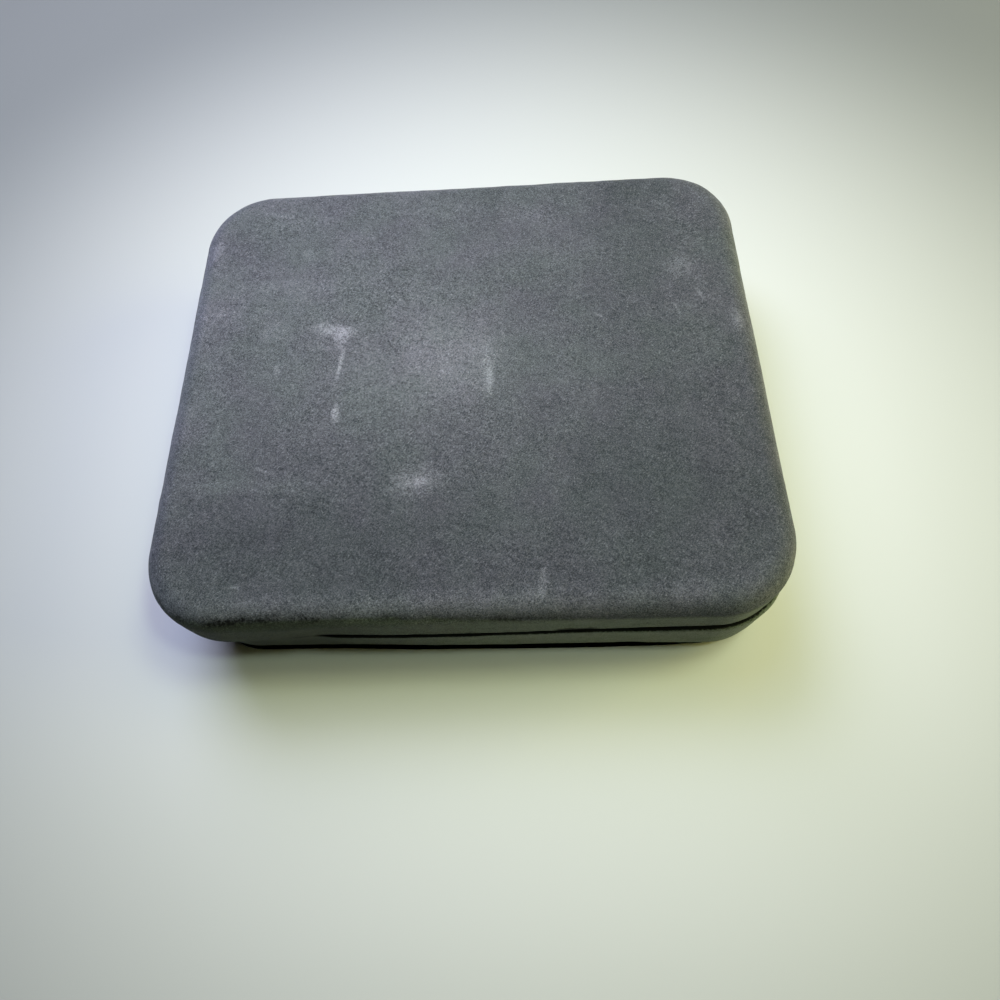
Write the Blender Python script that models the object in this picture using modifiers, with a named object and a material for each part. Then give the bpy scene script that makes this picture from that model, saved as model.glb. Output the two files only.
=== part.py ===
"""Velvet-covered jewellery presentation box with a sprung lid hinge, closed, in metres, +Z up.

The origin is on the surface that the box stands on, under the centre of the case. X runs along the
width, and -Y is the front, which opens. Insets are measured inwards from the case's outer outline.
"""

import math

import bmesh
import bpy
from mathutils import Matrix, Vector

# Case
case_width = 0.190
case_depth = 0.166
corner_radius = 0.024
base_height = 0.0265
lid_height = 0.0178
seam_gap = 0.0007
top_edge_radius = 0.0075
bottom_edge_radius = 0.0055
rim_edge_radius = 0.0013
corner_steps = 8
edge_steps = 4
rim_steps = 2

# Walls and clearances
velvet_thickness = 0.001
shell_wall = 0.002
fit_gap = 0.0003
hem_depth = 0.005
turned_under = 0.010
foot_proud = 0.0008
overrun = 0.002
weld_distance = 0.00001
outline_tolerance = 0.00005

# Velvet-covered card round the inside of the walls
liner_thickness = 0.0014
liner_below_rim = 0.0014

# Display pad and what carries it
riser_thickness = 0.0016
riser_height = 0.0075
board_thickness = 0.0014
pad_thickness = 0.0080
pad_crown = 0.0012
pad_edge_radius = 0.0022
crown_reach = 0.0125
crown_rings = 3

# Ring slot and its two rolls
ring_slot_width = 0.048
ring_slot_from_front = 0.040
ring_roll_radius = 0.0036
ring_roll_slit = 0.0012
ring_roll_proud = 0.0010
ring_roll_edge = 0.0012
roll_sides = 16

# Earring cards and chain loops
earring_card_width = 0.022
earring_card_depth = 0.015
earring_card_thickness = 0.0011
earring_card_corner = 0.0025
earring_card_spacing = 0.058
earring_card_from_rear = 0.070
earring_hole_radius = 0.0009
earring_hole_spacing = 0.009
earring_hole_sides = 12
chain_loop_span = 0.011
chain_loop_rise = 0.0026
chain_loop_radius = 0.0007
chain_loop_spacing = 0.104
chain_loop_from_rear = 0.030

# Lid lining
lining_board_thickness = 0.0014
lining_pad_thickness = 0.0045
lining_pad_crown = 0.0014

# Hinge
hinge_length = 0.072
knuckle_count = 5
knuckle_gap = 0.0004
barrel_radius = 0.0019
barrel_stand_off = 0.0004
pin_radius = 0.0008
pin_head = 0.0006
bore_clearance = 0.0001
leaf_thickness = 0.0008
leaf_height = 0.0090
notch_clearance = 0.0014
barrel_sides = 16

# Snap springs
spring_width = 0.0100
spring_thickness = 0.0005
spring_spacing = 0.030
spring_bow = 0.0034
spring_tail = 0.0036
spring_half_bow = 0.0050
bow_steps = 10

# Hinge screws
screw_from_leaf_end = 0.007
screw_head_radius = 0.0018
screw_head_height = 0.0009
screw_shank_radius = 0.0008
screw_bite = 0.0010
screw_hole_gap = 0.0003
head_crown_share = 0.6
head_shoulder_share = 0.45
screw_sides = 16

# Heights that follow
rim_top = base_height
lid_rim = base_height + seam_gap
case_height = lid_rim + lid_height
hinge_height = base_height + seam_gap / 2
shell_inset = velvet_thickness + fit_gap
shell_inner_inset = shell_inset + shell_wall
rim_width = shell_inner_inset + fit_gap + velvet_thickness
shell_bottom = foot_proud + shell_inset
floor_top = shell_bottom + shell_wall
ceiling = case_height - shell_inner_inset
liner_inset = rim_width + fit_gap
pad_inset = liner_inset + liner_thickness + fit_gap
board_bottom = floor_top + fit_gap + riser_height + fit_gap
pad_bottom = board_bottom + board_thickness + fit_gap
pad_edge_top = pad_bottom + pad_thickness
hinge_y = case_depth / 2 + barrel_stand_off

# Finishes: base colour, roughness, metallic
velvet_grey = ((0.115, 0.128, 0.136), 0.95, 0.0)
lining_velvet = ((0.150, 0.165, 0.175), 0.95, 0.0)
satin_silver = ((0.62, 0.63, 0.64), 0.40, 0.0)
moulded_black = ((0.03, 0.03, 0.032), 0.50, 0.0)
grey_card = ((0.32, 0.31, 0.29), 0.90, 0.0)
felt_black = ((0.02, 0.02, 0.022), 1.0, 0.0)
plated_steel = ((0.60, 0.58, 0.54), 0.30, 1.0)
spring_steel = ((0.48, 0.49, 0.50), 0.35, 1.0)
elastic_grey = ((0.20, 0.21, 0.22), 0.85, 0.0)


def clear_scene():
    for obj in list(bpy.data.objects):
        bpy.data.objects.remove(obj, do_unlink=True)


def collection(name):
    made = bpy.data.collections.new(name)
    bpy.context.scene.collection.children.link(made)
    return made


def material(name, finish):
    colour, roughness, metallic = finish
    made = bpy.data.materials.new(name)
    made.use_nodes = True
    shader = made.node_tree.nodes["Principled BSDF"]
    shader.inputs["Base Color"].default_value = (*colour, 1.0)
    shader.inputs["Roughness"].default_value = roughness
    shader.inputs["Metallic"].default_value = metallic
    return made


def add_object(name, data, finish, parent=None):
    """Names the piece, gives it its own material and puts it among the parts."""
    obj = bpy.data.objects.new(name, data)
    parts.objects.link(obj)
    data.materials.append(material(name + "_finish", finish))
    if parent is not None:
        obj.parent = parent
        obj.matrix_parent_inverse = parent.matrix_world.inverted()
    return obj


def mesh_object(name, bm, finish, parent=None):
    mesh = bpy.data.meshes.new(name)
    bmesh.ops.recalc_face_normals(bm, faces=bm.faces)
    bm.to_mesh(mesh)
    bm.free()
    mesh.shade_smooth()
    mesh.set_sharp_from_angle(angle=math.radians(40))
    return add_object(name, mesh, finish, parent)


def box_mesh(low, high):
    bm = bmesh.new()
    bmesh.ops.create_cube(bm, size=1.0)
    size = Vector(high) - Vector(low)
    middle = (Vector(high) + Vector(low)) / 2
    bmesh.ops.scale(bm, vec=size, verts=bm.verts)
    bmesh.ops.translate(bm, vec=middle, verts=bm.verts)
    return bm


def cutter_box(name, low, high):
    bm = box_mesh(low, high)
    mesh = bpy.data.meshes.new(name)
    bm.to_mesh(mesh)
    bm.free()
    return hide_cutter(bpy.data.objects.new(name, mesh))


def cutter_cylinder(name, radius, start, end, sides):
    """A round cutter from one point to another."""
    start, end = Vector(start), Vector(end)
    along = end - start
    bm = bmesh.new()
    bmesh.ops.create_cone(
        bm, cap_ends=True, segments=sides, radius1=radius, radius2=radius, depth=along.length
    )
    turn = along.to_track_quat("Z", "Y").to_matrix().to_4x4()
    bmesh.ops.transform(bm, matrix=Matrix.Translation((start + end) / 2) @ turn, verts=bm.verts)
    mesh = bpy.data.meshes.new(name)
    bm.to_mesh(mesh)
    bm.free()
    return hide_cutter(bpy.data.objects.new(name, mesh))


def hide_cutter(obj):
    cutters.objects.link(obj)
    obj.hide_render = True
    obj.display_type = "WIRE"
    return obj


def boolean(obj, other, operation):
    modifier = obj.modifiers.new(operation.title(), "BOOLEAN")
    modifier.operation = operation
    modifier.solver = "EXACT"
    modifier.object = other
    return obj


def cut(obj, *tools):
    for tool in tools:
        boolean(obj, tool, "DIFFERENCE")
    return obj


def rounded_outline(width, depth, radius, steps=corner_steps, centre=(0, 0)):
    """Points of a rectangle with round corners, anticlockwise."""
    points = []
    quarter = math.pi / 2
    for corner in range(4):
        sign_x = 1 if corner in (0, 3) else -1
        sign_y = 1 if corner in (0, 1) else -1
        middle_x = centre[0] + sign_x * (width / 2 - radius)
        middle_y = centre[1] + sign_y * (depth / 2 - radius)
        for step in range(steps + 1):
            angle = corner * quarter + quarter * step / steps
            points.append((middle_x + radius * math.cos(angle), middle_y + radius * math.sin(angle)))
    return points


def case_outline(inset):
    """The case's outline, moved in by the inset."""
    return rounded_outline(case_width - 2 * inset, case_depth - 2 * inset, corner_radius - inset)


def circle_outline(radius, centre, sides):
    turns = [2 * math.pi * side / sides for side in range(sides)]
    return [(centre[0] + radius * math.cos(t), centre[1] + radius * math.sin(t)) for t in turns]


def flat_curve(name, outlines, thickness):
    """A filled flat outline, with further outlines as its holes, as thick as asked and centred on Z 0."""
    curve = bpy.data.curves.new(name, "CURVE")
    curve.dimensions = "2D"
    curve.fill_mode = "BOTH"
    curve.extrude = thickness / 2
    for outline in outlines:
        spline = curve.splines.new("POLY")
        spline.points.add(len(outline) - 1)
        for point, (x, y) in zip(spline.points, outline):
            point.co = (x, y, 0, 1)
        spline.use_cyclic_u = True
    return curve


def slab(name, outlines, bottom, thickness, finish, parent=None):
    """A flat sheet or an upright band of that outline, standing on the height given as bottom."""
    obj = add_object(name, flat_curve(name, outlines, thickness), finish, parent)
    obj.location.z = bottom + thickness / 2
    return obj


def as_mesh(obj):
    """Turns a curve piece into a welded mesh, so that it can be cut or joined."""
    bpy.context.view_layer.update()
    graph = bpy.context.evaluated_depsgraph_get()
    mesh = bpy.data.meshes.new_from_object(obj.evaluated_get(graph))
    bm = bmesh.new()
    bm.from_mesh(mesh)
    bmesh.ops.remove_doubles(bm, verts=bm.verts, dist=weld_distance)
    bmesh.ops.recalc_face_normals(bm, faces=bm.faces)
    bm.to_mesh(mesh)
    bm.free()
    made = bpy.data.objects.new(obj.name, mesh)
    made.matrix_world = obj.matrix_world
    name, parent = obj.name, obj.parent
    curve = obj.data
    bpy.data.objects.remove(obj)
    bpy.data.curves.remove(curve)
    made.name = name
    parts.objects.link(made)
    if parent is not None:
        made.parent = parent
        made.matrix_parent_inverse = parent.matrix_world.inverted()
    return made


def on_outline(vert, height, inset):
    """True for a vertex at that height, on the case's rounded outline at that inset."""
    x = max(abs(vert.co.x) - (case_width / 2 - corner_radius), 0)
    y = max(abs(vert.co.y) - (case_depth / 2 - corner_radius), 0)
    off_outline = abs(math.hypot(x, y) - (corner_radius - inset))
    return abs(vert.co.z - height) < weld_distance and off_outline < outline_tolerance


def face_at(bm, height, up):
    """The large flat face at one height that looks up or down."""
    for face in bm.faces:
        level = all(abs(v.co.z - height) < weld_distance for v in face.verts)
        if level and (face.normal.z > 0.5) == up and abs(face.normal.z) > 0.5:
            return face
    return None


def round_block(inset, bottom, top):
    """A closed block with the case's plan at one inset."""
    half_width = case_width / 2 - inset
    half_depth = case_depth / 2 - inset
    bm = box_mesh((-half_width, -half_depth, bottom), (half_width, half_depth, top))
    upright = [e for e in bm.edges if abs(e.verts[0].co.z - e.verts[1].co.z) > weld_distance]
    bmesh.ops.bevel(
        bm,
        geom=upright,
        offset=corner_radius - inset,
        segments=corner_steps,
        profile=0.5,
        affect="EDGES",
    )
    bm.normal_update()
    return bm


def round_edges(bm, height, inset, radius, steps):
    """Rounds the edge that runs round the block at one height and inset."""
    edges = [e for e in bm.edges if all(on_outline(v, height, inset) for v in e.verts)]
    bmesh.ops.bevel(bm, geom=edges, offset=radius, segments=steps, profile=0.5, affect="EDGES")
    bm.normal_update()


def solidify(obj, thickness):
    modifier = obj.modifiers.new("Thickness", "SOLIDIFY")
    modifier.thickness = thickness
    modifier.offset = -1
    modifier.use_even_offset = True
    return obj


def case_shell(name, closed_height, open_height, edge_radius, finish, parent=None):
    """A moulded tray: a block that is open at the open height, with its wall's thickness inwards."""
    low, high = sorted((closed_height, open_height))
    bm = round_block(shell_inset, low, high)
    round_edges(bm, closed_height, shell_inset, edge_radius - shell_inset, edge_steps)
    bmesh.ops.delete(bm, geom=[face_at(bm, open_height, open_height == high)], context="FACES_ONLY")
    return solidify(mesh_object(name, bm, finish, parent), shell_wall)


def velvet_wrap(name, closed_height, rim_height, edge_radius, finish, parent=None, turn_under=None):
    """The cloth over one half of the case, from its closed side up the wall, over the rim and in as a hem.

    With turn_under the closed side is open in the middle, where the cloth ends under the case.
    """
    low, high = sorted((closed_height, rim_height))
    into_case = 1 if closed_height > rim_height else -1
    bm = round_block(0, low, high)
    rim = face_at(bm, rim_height, rim_height == high)
    bmesh.ops.inset_region(bm, faces=[rim], thickness=rim_width, use_even_offset=True)
    hem_end = bmesh.ops.extrude_discrete_faces(bm, faces=[rim])["faces"][0]
    bmesh.ops.translate(bm, vec=(0, 0, into_case * hem_depth), verts=hem_end.verts)
    bmesh.ops.delete(bm, geom=[hem_end], context="FACES_ONLY")
    bm.normal_update()
    round_edges(bm, rim_height, 0, rim_edge_radius, rim_steps)
    round_edges(bm, rim_height, rim_width, rim_edge_radius, rim_steps)
    round_edges(bm, closed_height, 0, edge_radius, edge_steps)
    if turn_under is not None:
        middle = face_at(bm, closed_height, closed_height == high)
        bmesh.ops.inset_region(
            bm, faces=[middle], thickness=turn_under - edge_radius, use_even_offset=True
        )
        bmesh.ops.delete(bm, geom=[middle], context="FACES_ONLY")
    return solidify(mesh_object(name, bm, finish, parent), velvet_thickness)


def hinge_notches():
    """The cutters that make room for the hinge in the rear walls, below and above the seam."""
    half = hinge_length / 2 + notch_clearance
    reach = barrel_radius + fit_gap
    behind = case_depth / 2 + overrun
    inside = case_depth / 2 - liner_inset
    plate_face = case_depth / 2 - shell_inner_inset - fit_gap / 2
    below = cutter_box(
        "notch_below_seam",
        (-half, inside, hinge_height - reach),
        (half, behind, hinge_height),
    )
    above = cutter_box(
        "notch_above_seam",
        (-half, inside, hinge_height),
        (half, behind, hinge_height + reach),
    )
    hem_below = cutter_box(
        "hem_gap_below_seam",
        (-half, inside, rim_top - hem_depth - overrun),
        (half, plate_face, hinge_height),
    )
    hem_above = cutter_box(
        "hem_gap_above_seam",
        (-half, inside, hinge_height),
        (half, plate_face, lid_rim + hem_depth + overrun),
    )
    return below, above, hem_below, hem_above


def screw_places(height):
    return [(side * (hinge_length / 2 - screw_from_leaf_end), height) for side in (-1, 1)]


def leaf_middle(side):
    """The height of a leaf's screws; side is -1 on the base and 1 on the lid."""
    return hinge_height + side * (barrel_radius + leaf_height) / 2


def screw_hole_cutters(side):
    """Round cutters for the screw holes through one leaf and into the shell behind it."""
    radius = screw_shank_radius + screw_hole_gap
    inner = case_depth / 2 - shell_inner_inset - fit_gap - leaf_thickness - overrun
    outer = case_depth / 2 - shell_inner_inset + screw_bite + screw_hole_gap
    word = "base" if side < 0 else "lid"
    return [
        cutter_cylinder(
            f"screw_hole_{word}_{number}", radius, (x, inner, z), (x, outer, z), screw_sides
        )
        for number, (x, z) in enumerate(screw_places(leaf_middle(side)))
    ]


def knuckle_spans():
    """Where each knuckle starts and ends along the hinge, from left to right."""
    pitch = hinge_length / knuckle_count
    first = -hinge_length / 2
    return [
        (first + pitch * n + knuckle_gap / 2, first + pitch * (n + 1) - knuckle_gap / 2)
        for n in range(knuckle_count)
    ]


def hinge_leaf(name, side, holes, finish, parent=None):
    """A cranked leaf: an upright plate inside the rear wall, a flange out over the rim, and its knuckles.

    side is -1 for the base's leaf, under the seam, and 1 for the lid's, over it.
    """
    plate_outer = case_depth / 2 - shell_inner_inset - fit_gap
    plate_inner = plate_outer - leaf_thickness
    flange_end = hinge_y - barrel_radius - fit_gap
    near = hinge_height + side * (barrel_radius - leaf_thickness)
    far = hinge_height + side * barrel_radius
    tip = hinge_height + side * (barrel_radius + leaf_height)
    section = [
        (plate_inner, tip),
        (plate_outer, tip),
        (plate_outer, far),
        (flange_end, far),
        (flange_end, near),
        (plate_inner, near),
    ]
    curve = flat_curve(name, [section], hinge_length)
    obj = add_object(name, curve, finish, parent)
    obj.rotation_euler = (math.pi / 2, 0, math.pi / 2)
    obj = as_mesh(obj)
    own = [span for n, span in enumerate(knuckle_spans()) if (n % 2 == 0) == (side < 0)]
    low, high = sorted((near, far))
    for number, (start, end) in enumerate(own):
        finger = cutter_box(
            f"{name}_finger_{number}", (start, flange_end - leaf_thickness, low), (end, hinge_y, high)
        )
        knuckle = cutter_cylinder(
            f"{name}_knuckle_{number}",
            barrel_radius,
            (start, hinge_y, hinge_height),
            (end, hinge_y, hinge_height),
            barrel_sides,
        )
        boolean(obj, finger, "UNION")
        boolean(obj, knuckle, "UNION")
    bore = cutter_cylinder(
        f"{name}_bore",
        pin_radius + bore_clearance,
        (-hinge_length / 2 - overrun, hinge_y, hinge_height),
        (hinge_length / 2 + overrun, hinge_y, hinge_height),
        barrel_sides,
    )
    return cut(obj, bore, *holes)


def turned(name, profile, steps, finish, parent=None):
    """A round piece from a profile of (radius, height) points, which runs down its outer side."""
    bm = bmesh.new()
    verts = [bm.verts.new((radius, 0, height)) for radius, height in profile]
    for first, second in zip(verts, verts[1:]):
        bm.edges.new((first, second))
    mesh = bpy.data.meshes.new(name)
    bm.to_mesh(mesh)
    bm.free()
    obj = add_object(name, mesh, finish, parent)
    modifier = obj.modifiers.new("Turn", "SCREW")
    modifier.steps = steps
    modifier.render_steps = steps
    modifier.use_merge_vertices = True
    modifier.merge_threshold = weld_distance
    return obj


def hinge_pin(finish, parent=None):
    """The hinge's pin, with its two ends spread a little over the outer knuckles."""
    half = hinge_length / 2
    head = half + fit_gap
    wide = pin_radius + bore_clearance + fit_gap
    profile = [
        (0, head + pin_head),
        (wide, head + pin_head),
        (wide, head),
        (pin_radius, head),
        (pin_radius, -head),
        (wide, -head),
        (wide, -head - pin_head),
        (0, -head - pin_head),
    ]
    pin = turned("hinge_pin", profile, barrel_sides, finish, parent)
    pin.location = (0, hinge_y, hinge_height)
    pin.rotation_euler = (0, math.pi / 2, 0)
    return pin


def hinge_screw(name, x, z, finish, parent=None):
    """A small pan-headed screw through a leaf and into the shell, its head towards the inside."""
    plate_inner = case_depth / 2 - shell_inner_inset - fit_gap - leaf_thickness
    shank = leaf_thickness + 2 * fit_gap + screw_bite
    profile = [
        (0, screw_head_height),
        (screw_head_radius * head_crown_share, screw_head_height),
        (screw_head_radius, screw_head_height * head_shoulder_share),
        (screw_head_radius, 0),
        (screw_shank_radius, 0),
        (screw_shank_radius, -shank),
        (0, -shank),
    ]
    screw = turned(name, profile, screw_sides, finish, parent)
    screw.location = (x, plate_inner - fit_gap, z)
    screw.rotation_euler = (math.pi / 2, 0, 0)
    return screw


def snap_spring(name, x, finish, parent=None):
    """A bowed strip of spring steel from the base's leaf to the lid's, which snaps the lid shut or open."""
    plate_inner = case_depth / 2 - shell_inner_inset - fit_gap - leaf_thickness
    back = plate_inner - fit_gap
    points = [(back, hinge_height - spring_half_bow - spring_tail)]
    for step in range(bow_steps + 1):
        share = step / bow_steps
        height = hinge_height + spring_half_bow * (2 * share - 1)
        points.append((back - spring_bow * math.sin(math.pi * share) ** 2, height))
    points.append((back, hinge_height + spring_half_bow + spring_tail))
    bm = bmesh.new()
    verts = [bm.verts.new((x - spring_width / 2, y, z)) for y, z in points]
    edges = [bm.edges.new(pair) for pair in zip(verts, verts[1:])]
    moved = bmesh.ops.extrude_edge_only(bm, edges=edges)["geom"]
    side = [v for v in moved if isinstance(v, bmesh.types.BMVert)]
    bmesh.ops.translate(bm, vec=(spring_width, 0, 0), verts=side)
    bm.normal_update()
    if bm.faces[:][0].normal.y < 0:
        bmesh.ops.reverse_faces(bm, faces=bm.faces)
    mesh = bpy.data.meshes.new(name)
    bm.to_mesh(mesh)
    bm.free()
    mesh.shade_smooth()
    return solidify(add_object(name, mesh, finish, parent), spring_thickness)


def cushion(name, inset, flat_side, edge_side, crown, edge_radius, finish, parent=None):
    """A padded panel: flat on its board, with rounded edges and a face that swells in from them."""
    low, high = sorted((flat_side, edge_side))
    outwards = 1 if edge_side > flat_side else -1
    bm = round_block(inset, low, high)
    round_edges(bm, edge_side, inset, edge_radius, edge_steps)
    face = face_at(bm, edge_side, edge_side > flat_side)
    spent = 0
    for ring in range(crown_rings):
        share = (ring + 1) / crown_rings
        rise = crown * math.sin(math.pi / 2 * share) - spent
        bmesh.ops.inset_region(
            bm, faces=[face], thickness=crown_reach / crown_rings, use_even_offset=True
        )
        bmesh.ops.translate(bm, vec=(0, 0, outwards * rise), verts=face.verts)
        spent += rise
    return mesh_object(name, bm, finish, parent)


def ring_slot_size():
    """The ring slot's depth from front to back, worked out from its two rolls."""
    return 4 * ring_roll_radius + ring_roll_slit + 2 * fit_gap


def ring_slot_y():
    return -case_depth / 2 + ring_slot_from_front


def ring_roll(name, side, finish, parent=None):
    """One of the two soft rolls that hold a ring's band between them."""
    y = ring_slot_y() + side * (ring_slot_size() / 2 - fit_gap - ring_roll_radius)
    length = ring_slot_width - 2 * fit_gap
    bm = bmesh.new()
    bmesh.ops.create_cone(
        bm,
        cap_ends=True,
        segments=roll_sides,
        radius1=ring_roll_radius,
        radius2=ring_roll_radius,
        depth=length,
    )
    caps = [e for e in bm.edges if any(len(f.verts) > 4 for f in e.link_faces)]
    bmesh.ops.bevel(
        bm, geom=caps, offset=ring_roll_edge, segments=2, profile=0.5, affect="EDGES"
    )
    obj = mesh_object(name, bm, finish, parent)
    obj.location = (0, y, pad_edge_top + pad_crown + ring_roll_proud - ring_roll_radius)
    obj.rotation_euler = (0, math.pi / 2, 0)
    return obj


def earring_card(name, side, finish, parent=None):
    """A small velvet-covered card with two pierced holes for a pair of earring posts."""
    centre = (side * earring_card_spacing / 2, case_depth / 2 - earring_card_from_rear)
    outlines = [
        rounded_outline(
            earring_card_width, earring_card_depth, earring_card_corner, rim_steps, centre
        )
    ]
    for hole in (-1, 1):
        middle = (centre[0] + hole * earring_hole_spacing / 2, centre[1])
        outlines.append(circle_outline(earring_hole_radius, middle, earring_hole_sides))
    bottom = pad_edge_top + pad_crown + fit_gap
    return slab(name, outlines, bottom, earring_card_thickness, finish, parent)


def chain_loop(name, side, finish, parent=None):
    """A small elastic loop, sewn down at both ends, that a necklace chain passes under."""
    x = side * chain_loop_spacing / 2
    y = case_depth / 2 - chain_loop_from_rear
    curve = bpy.data.curves.new(name, "CURVE")
    curve.dimensions = "3D"
    curve.bevel_depth = chain_loop_radius
    curve.bevel_resolution = 2
    curve.use_fill_caps = True
    spline = curve.splines.new("POLY")
    spline.points.add(bow_steps)
    for step, point in enumerate(spline.points):
        share = step / bow_steps
        across = chain_loop_span * (share - 0.5)
        rise = chain_loop_rise * math.sin(math.pi * share)
        point.co = (across, 0, rise, 1)
    obj = add_object(name, curve, finish, parent)
    obj.location = (x, y, pad_edge_top + pad_crown + fit_gap + chain_loop_radius)
    return obj


def build_base():
    notch, _, hem_gap, _ = notches
    holes = screw_hole_cutters(-1)
    panel = case_outline(turned_under + fit_gap)
    slab("bottom_felt", [panel], 0, foot_proud + velvet_thickness, felt_black)
    cut(
        velvet_wrap(
            "base_velvet", foot_proud, rim_top, bottom_edge_radius, velvet_grey, None, turned_under
        ),
        notch,
        hem_gap,
    )
    cut(
        case_shell(
            "base_shell", shell_bottom, rim_top - shell_inset, bottom_edge_radius, moulded_black
        ),
        notch,
        *holes,
    )
    build_base_inside()
    hinge_leaf("hinge_leaf_base", -1, holes, plated_steel)
    hinge_pin(plated_steel)
    for side, word in ((-1, "left"), (1, "right")):
        snap_spring(f"hinge_spring_{word}", side * spring_spacing / 2, spring_steel)
    for (x, z), word in zip(screw_places(leaf_middle(-1)), ("left", "right")):
        hinge_screw(f"hinge_screw_base_{word}", x, z, plated_steel)


def fillet_rise(edge_radius, inset):
    """How far a shell's inner fillet stands off its flat side at one inset."""
    radius = edge_radius - shell_inner_inset
    across = max(edge_radius - inset, 0)
    return radius - math.sqrt(radius ** 2 - across ** 2)


def liner_gap(name, low, high):
    """The cutter that opens a wall liner where the hinge's leaves and springs stand."""
    half = hinge_length / 2 + notch_clearance
    front = case_depth / 2 - liner_inset - liner_thickness - fit_gap
    return cutter_box(name, (-half, front, low), (half, case_depth / 2 - rim_width, high))


def build_base_inside():
    liner_bottom = floor_top + fit_gap + fillet_rise(bottom_edge_radius, liner_inset)
    liner_top = rim_top - liner_below_rim
    leaf_end = hinge_height - barrel_radius - leaf_height
    band = [case_outline(liner_inset), case_outline(liner_inset + liner_thickness)]
    liner = slab("base_wall_liner", band, liner_bottom, liner_top - liner_bottom, lining_velvet)
    gap = liner_gap("liner_gap_below_seam", leaf_end - fit_gap, hinge_height)
    cut(as_mesh(liner), gap)
    frame = [case_outline(pad_inset), case_outline(pad_inset + riser_thickness)]
    slab("pad_riser", frame, floor_top + fit_gap, riser_height, grey_card)
    slab("pad_board", [case_outline(pad_inset)], board_bottom, board_thickness, grey_card)
    slot_half = ring_slot_size() / 2
    slot = cutter_box(
        "ring_slot",
        (-ring_slot_width / 2, ring_slot_y() - slot_half, board_bottom),
        (ring_slot_width / 2, ring_slot_y() + slot_half, pad_edge_top + pad_crown + overrun),
    )
    pad = cushion(
        "display_pad", pad_inset, pad_bottom, pad_edge_top, pad_crown, pad_edge_radius, lining_velvet
    )
    cut(pad, slot)
    for side, word in ((-1, "front"), (1, "rear")):
        ring_roll(f"ring_roll_{word}", side, lining_velvet)
    for side, word in ((-1, "left"), (1, "right")):
        earring_card(f"earring_card_{word}", side, lining_velvet)
        chain_loop(f"chain_loop_{word}", side, elastic_grey)


def build_lid(pivot):
    _, notch, _, hem_gap = notches
    holes = screw_hole_cutters(1)
    cut(
        velvet_wrap("lid_velvet", case_height, lid_rim, top_edge_radius, velvet_grey, pivot),
        notch,
        hem_gap,
    )
    cut(
        case_shell(
            "lid_shell",
            case_height - shell_inset,
            lid_rim + shell_inset,
            top_edge_radius,
            moulded_black,
            pivot,
        ),
        notch,
        *holes,
    )
    liner_bottom = lid_rim + liner_below_rim
    liner_top = ceiling - fit_gap - fillet_rise(top_edge_radius, liner_inset)
    leaf_end = hinge_height + barrel_radius + leaf_height
    band = [case_outline(liner_inset), case_outline(liner_inset + liner_thickness)]
    liner = slab(
        "lid_wall_liner", band, liner_bottom, liner_top - liner_bottom, lining_velvet, pivot
    )
    gap = liner_gap("liner_gap_above_seam", hinge_height, leaf_end + fit_gap)
    cut(as_mesh(liner), gap)
    board_top = ceiling - fit_gap
    board_low = board_top - lining_board_thickness
    slab(
        "lining_board", [case_outline(pad_inset)], board_low, lining_board_thickness, grey_card, pivot
    )
    pad_top = board_low - fit_gap
    cushion(
        "lining_pad",
        pad_inset,
        pad_top,
        pad_top - lining_pad_thickness,
        lining_pad_crown,
        pad_edge_radius,
        satin_silver,
        pivot,
    )
    hinge_leaf("hinge_leaf_lid", 1, holes, plated_steel, pivot)
    for (x, z), word in zip(screw_places(leaf_middle(1)), ("left", "right")):
        hinge_screw(f"hinge_screw_lid_{word}", x, z, plated_steel, pivot)


def lid_pivot():
    """The empty on the hinge's axis that carries everything on the lid."""
    pivot = bpy.data.objects.new("lid_pivot", None)
    parts.objects.link(pivot)
    pivot.location = (0, hinge_y, hinge_height)
    bpy.context.view_layer.update()
    return pivot


clear_scene()
parts = collection("jewellery_presentation_box")
cutters = collection("cutters")
notches = hinge_notches()
build_base()
build_lid(lid_pivot())
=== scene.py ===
import math

import bmesh
import bpy
import numpy as np
from mathutils import Matrix, Vector


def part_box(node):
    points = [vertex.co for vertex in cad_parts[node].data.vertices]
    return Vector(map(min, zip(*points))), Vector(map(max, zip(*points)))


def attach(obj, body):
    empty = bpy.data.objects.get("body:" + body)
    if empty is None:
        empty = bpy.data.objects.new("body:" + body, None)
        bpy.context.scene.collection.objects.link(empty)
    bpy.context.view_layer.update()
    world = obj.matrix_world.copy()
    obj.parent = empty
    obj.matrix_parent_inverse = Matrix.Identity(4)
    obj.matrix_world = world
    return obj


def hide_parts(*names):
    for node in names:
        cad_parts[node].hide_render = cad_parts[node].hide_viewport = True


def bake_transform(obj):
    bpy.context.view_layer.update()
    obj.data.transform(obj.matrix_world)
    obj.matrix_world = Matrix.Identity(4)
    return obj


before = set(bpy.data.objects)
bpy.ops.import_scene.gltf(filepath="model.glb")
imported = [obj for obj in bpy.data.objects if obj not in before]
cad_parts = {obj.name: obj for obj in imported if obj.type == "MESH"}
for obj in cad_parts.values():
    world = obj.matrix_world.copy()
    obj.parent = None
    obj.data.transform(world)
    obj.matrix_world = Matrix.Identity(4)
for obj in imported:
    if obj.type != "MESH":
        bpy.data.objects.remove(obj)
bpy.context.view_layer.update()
mm = 0.001

# Heights and reaches that the frame gives
lidLow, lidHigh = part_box("lid_velvet")
baseLow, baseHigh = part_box("base_velvet")
padLow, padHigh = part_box("display_pad")
liningLow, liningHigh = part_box("lining_pad")
halfWidth, halfDepth = lidHigh.x, lidHigh.y
seamHeight = (lidLow.z + baseHigh.z) / 2

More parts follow.
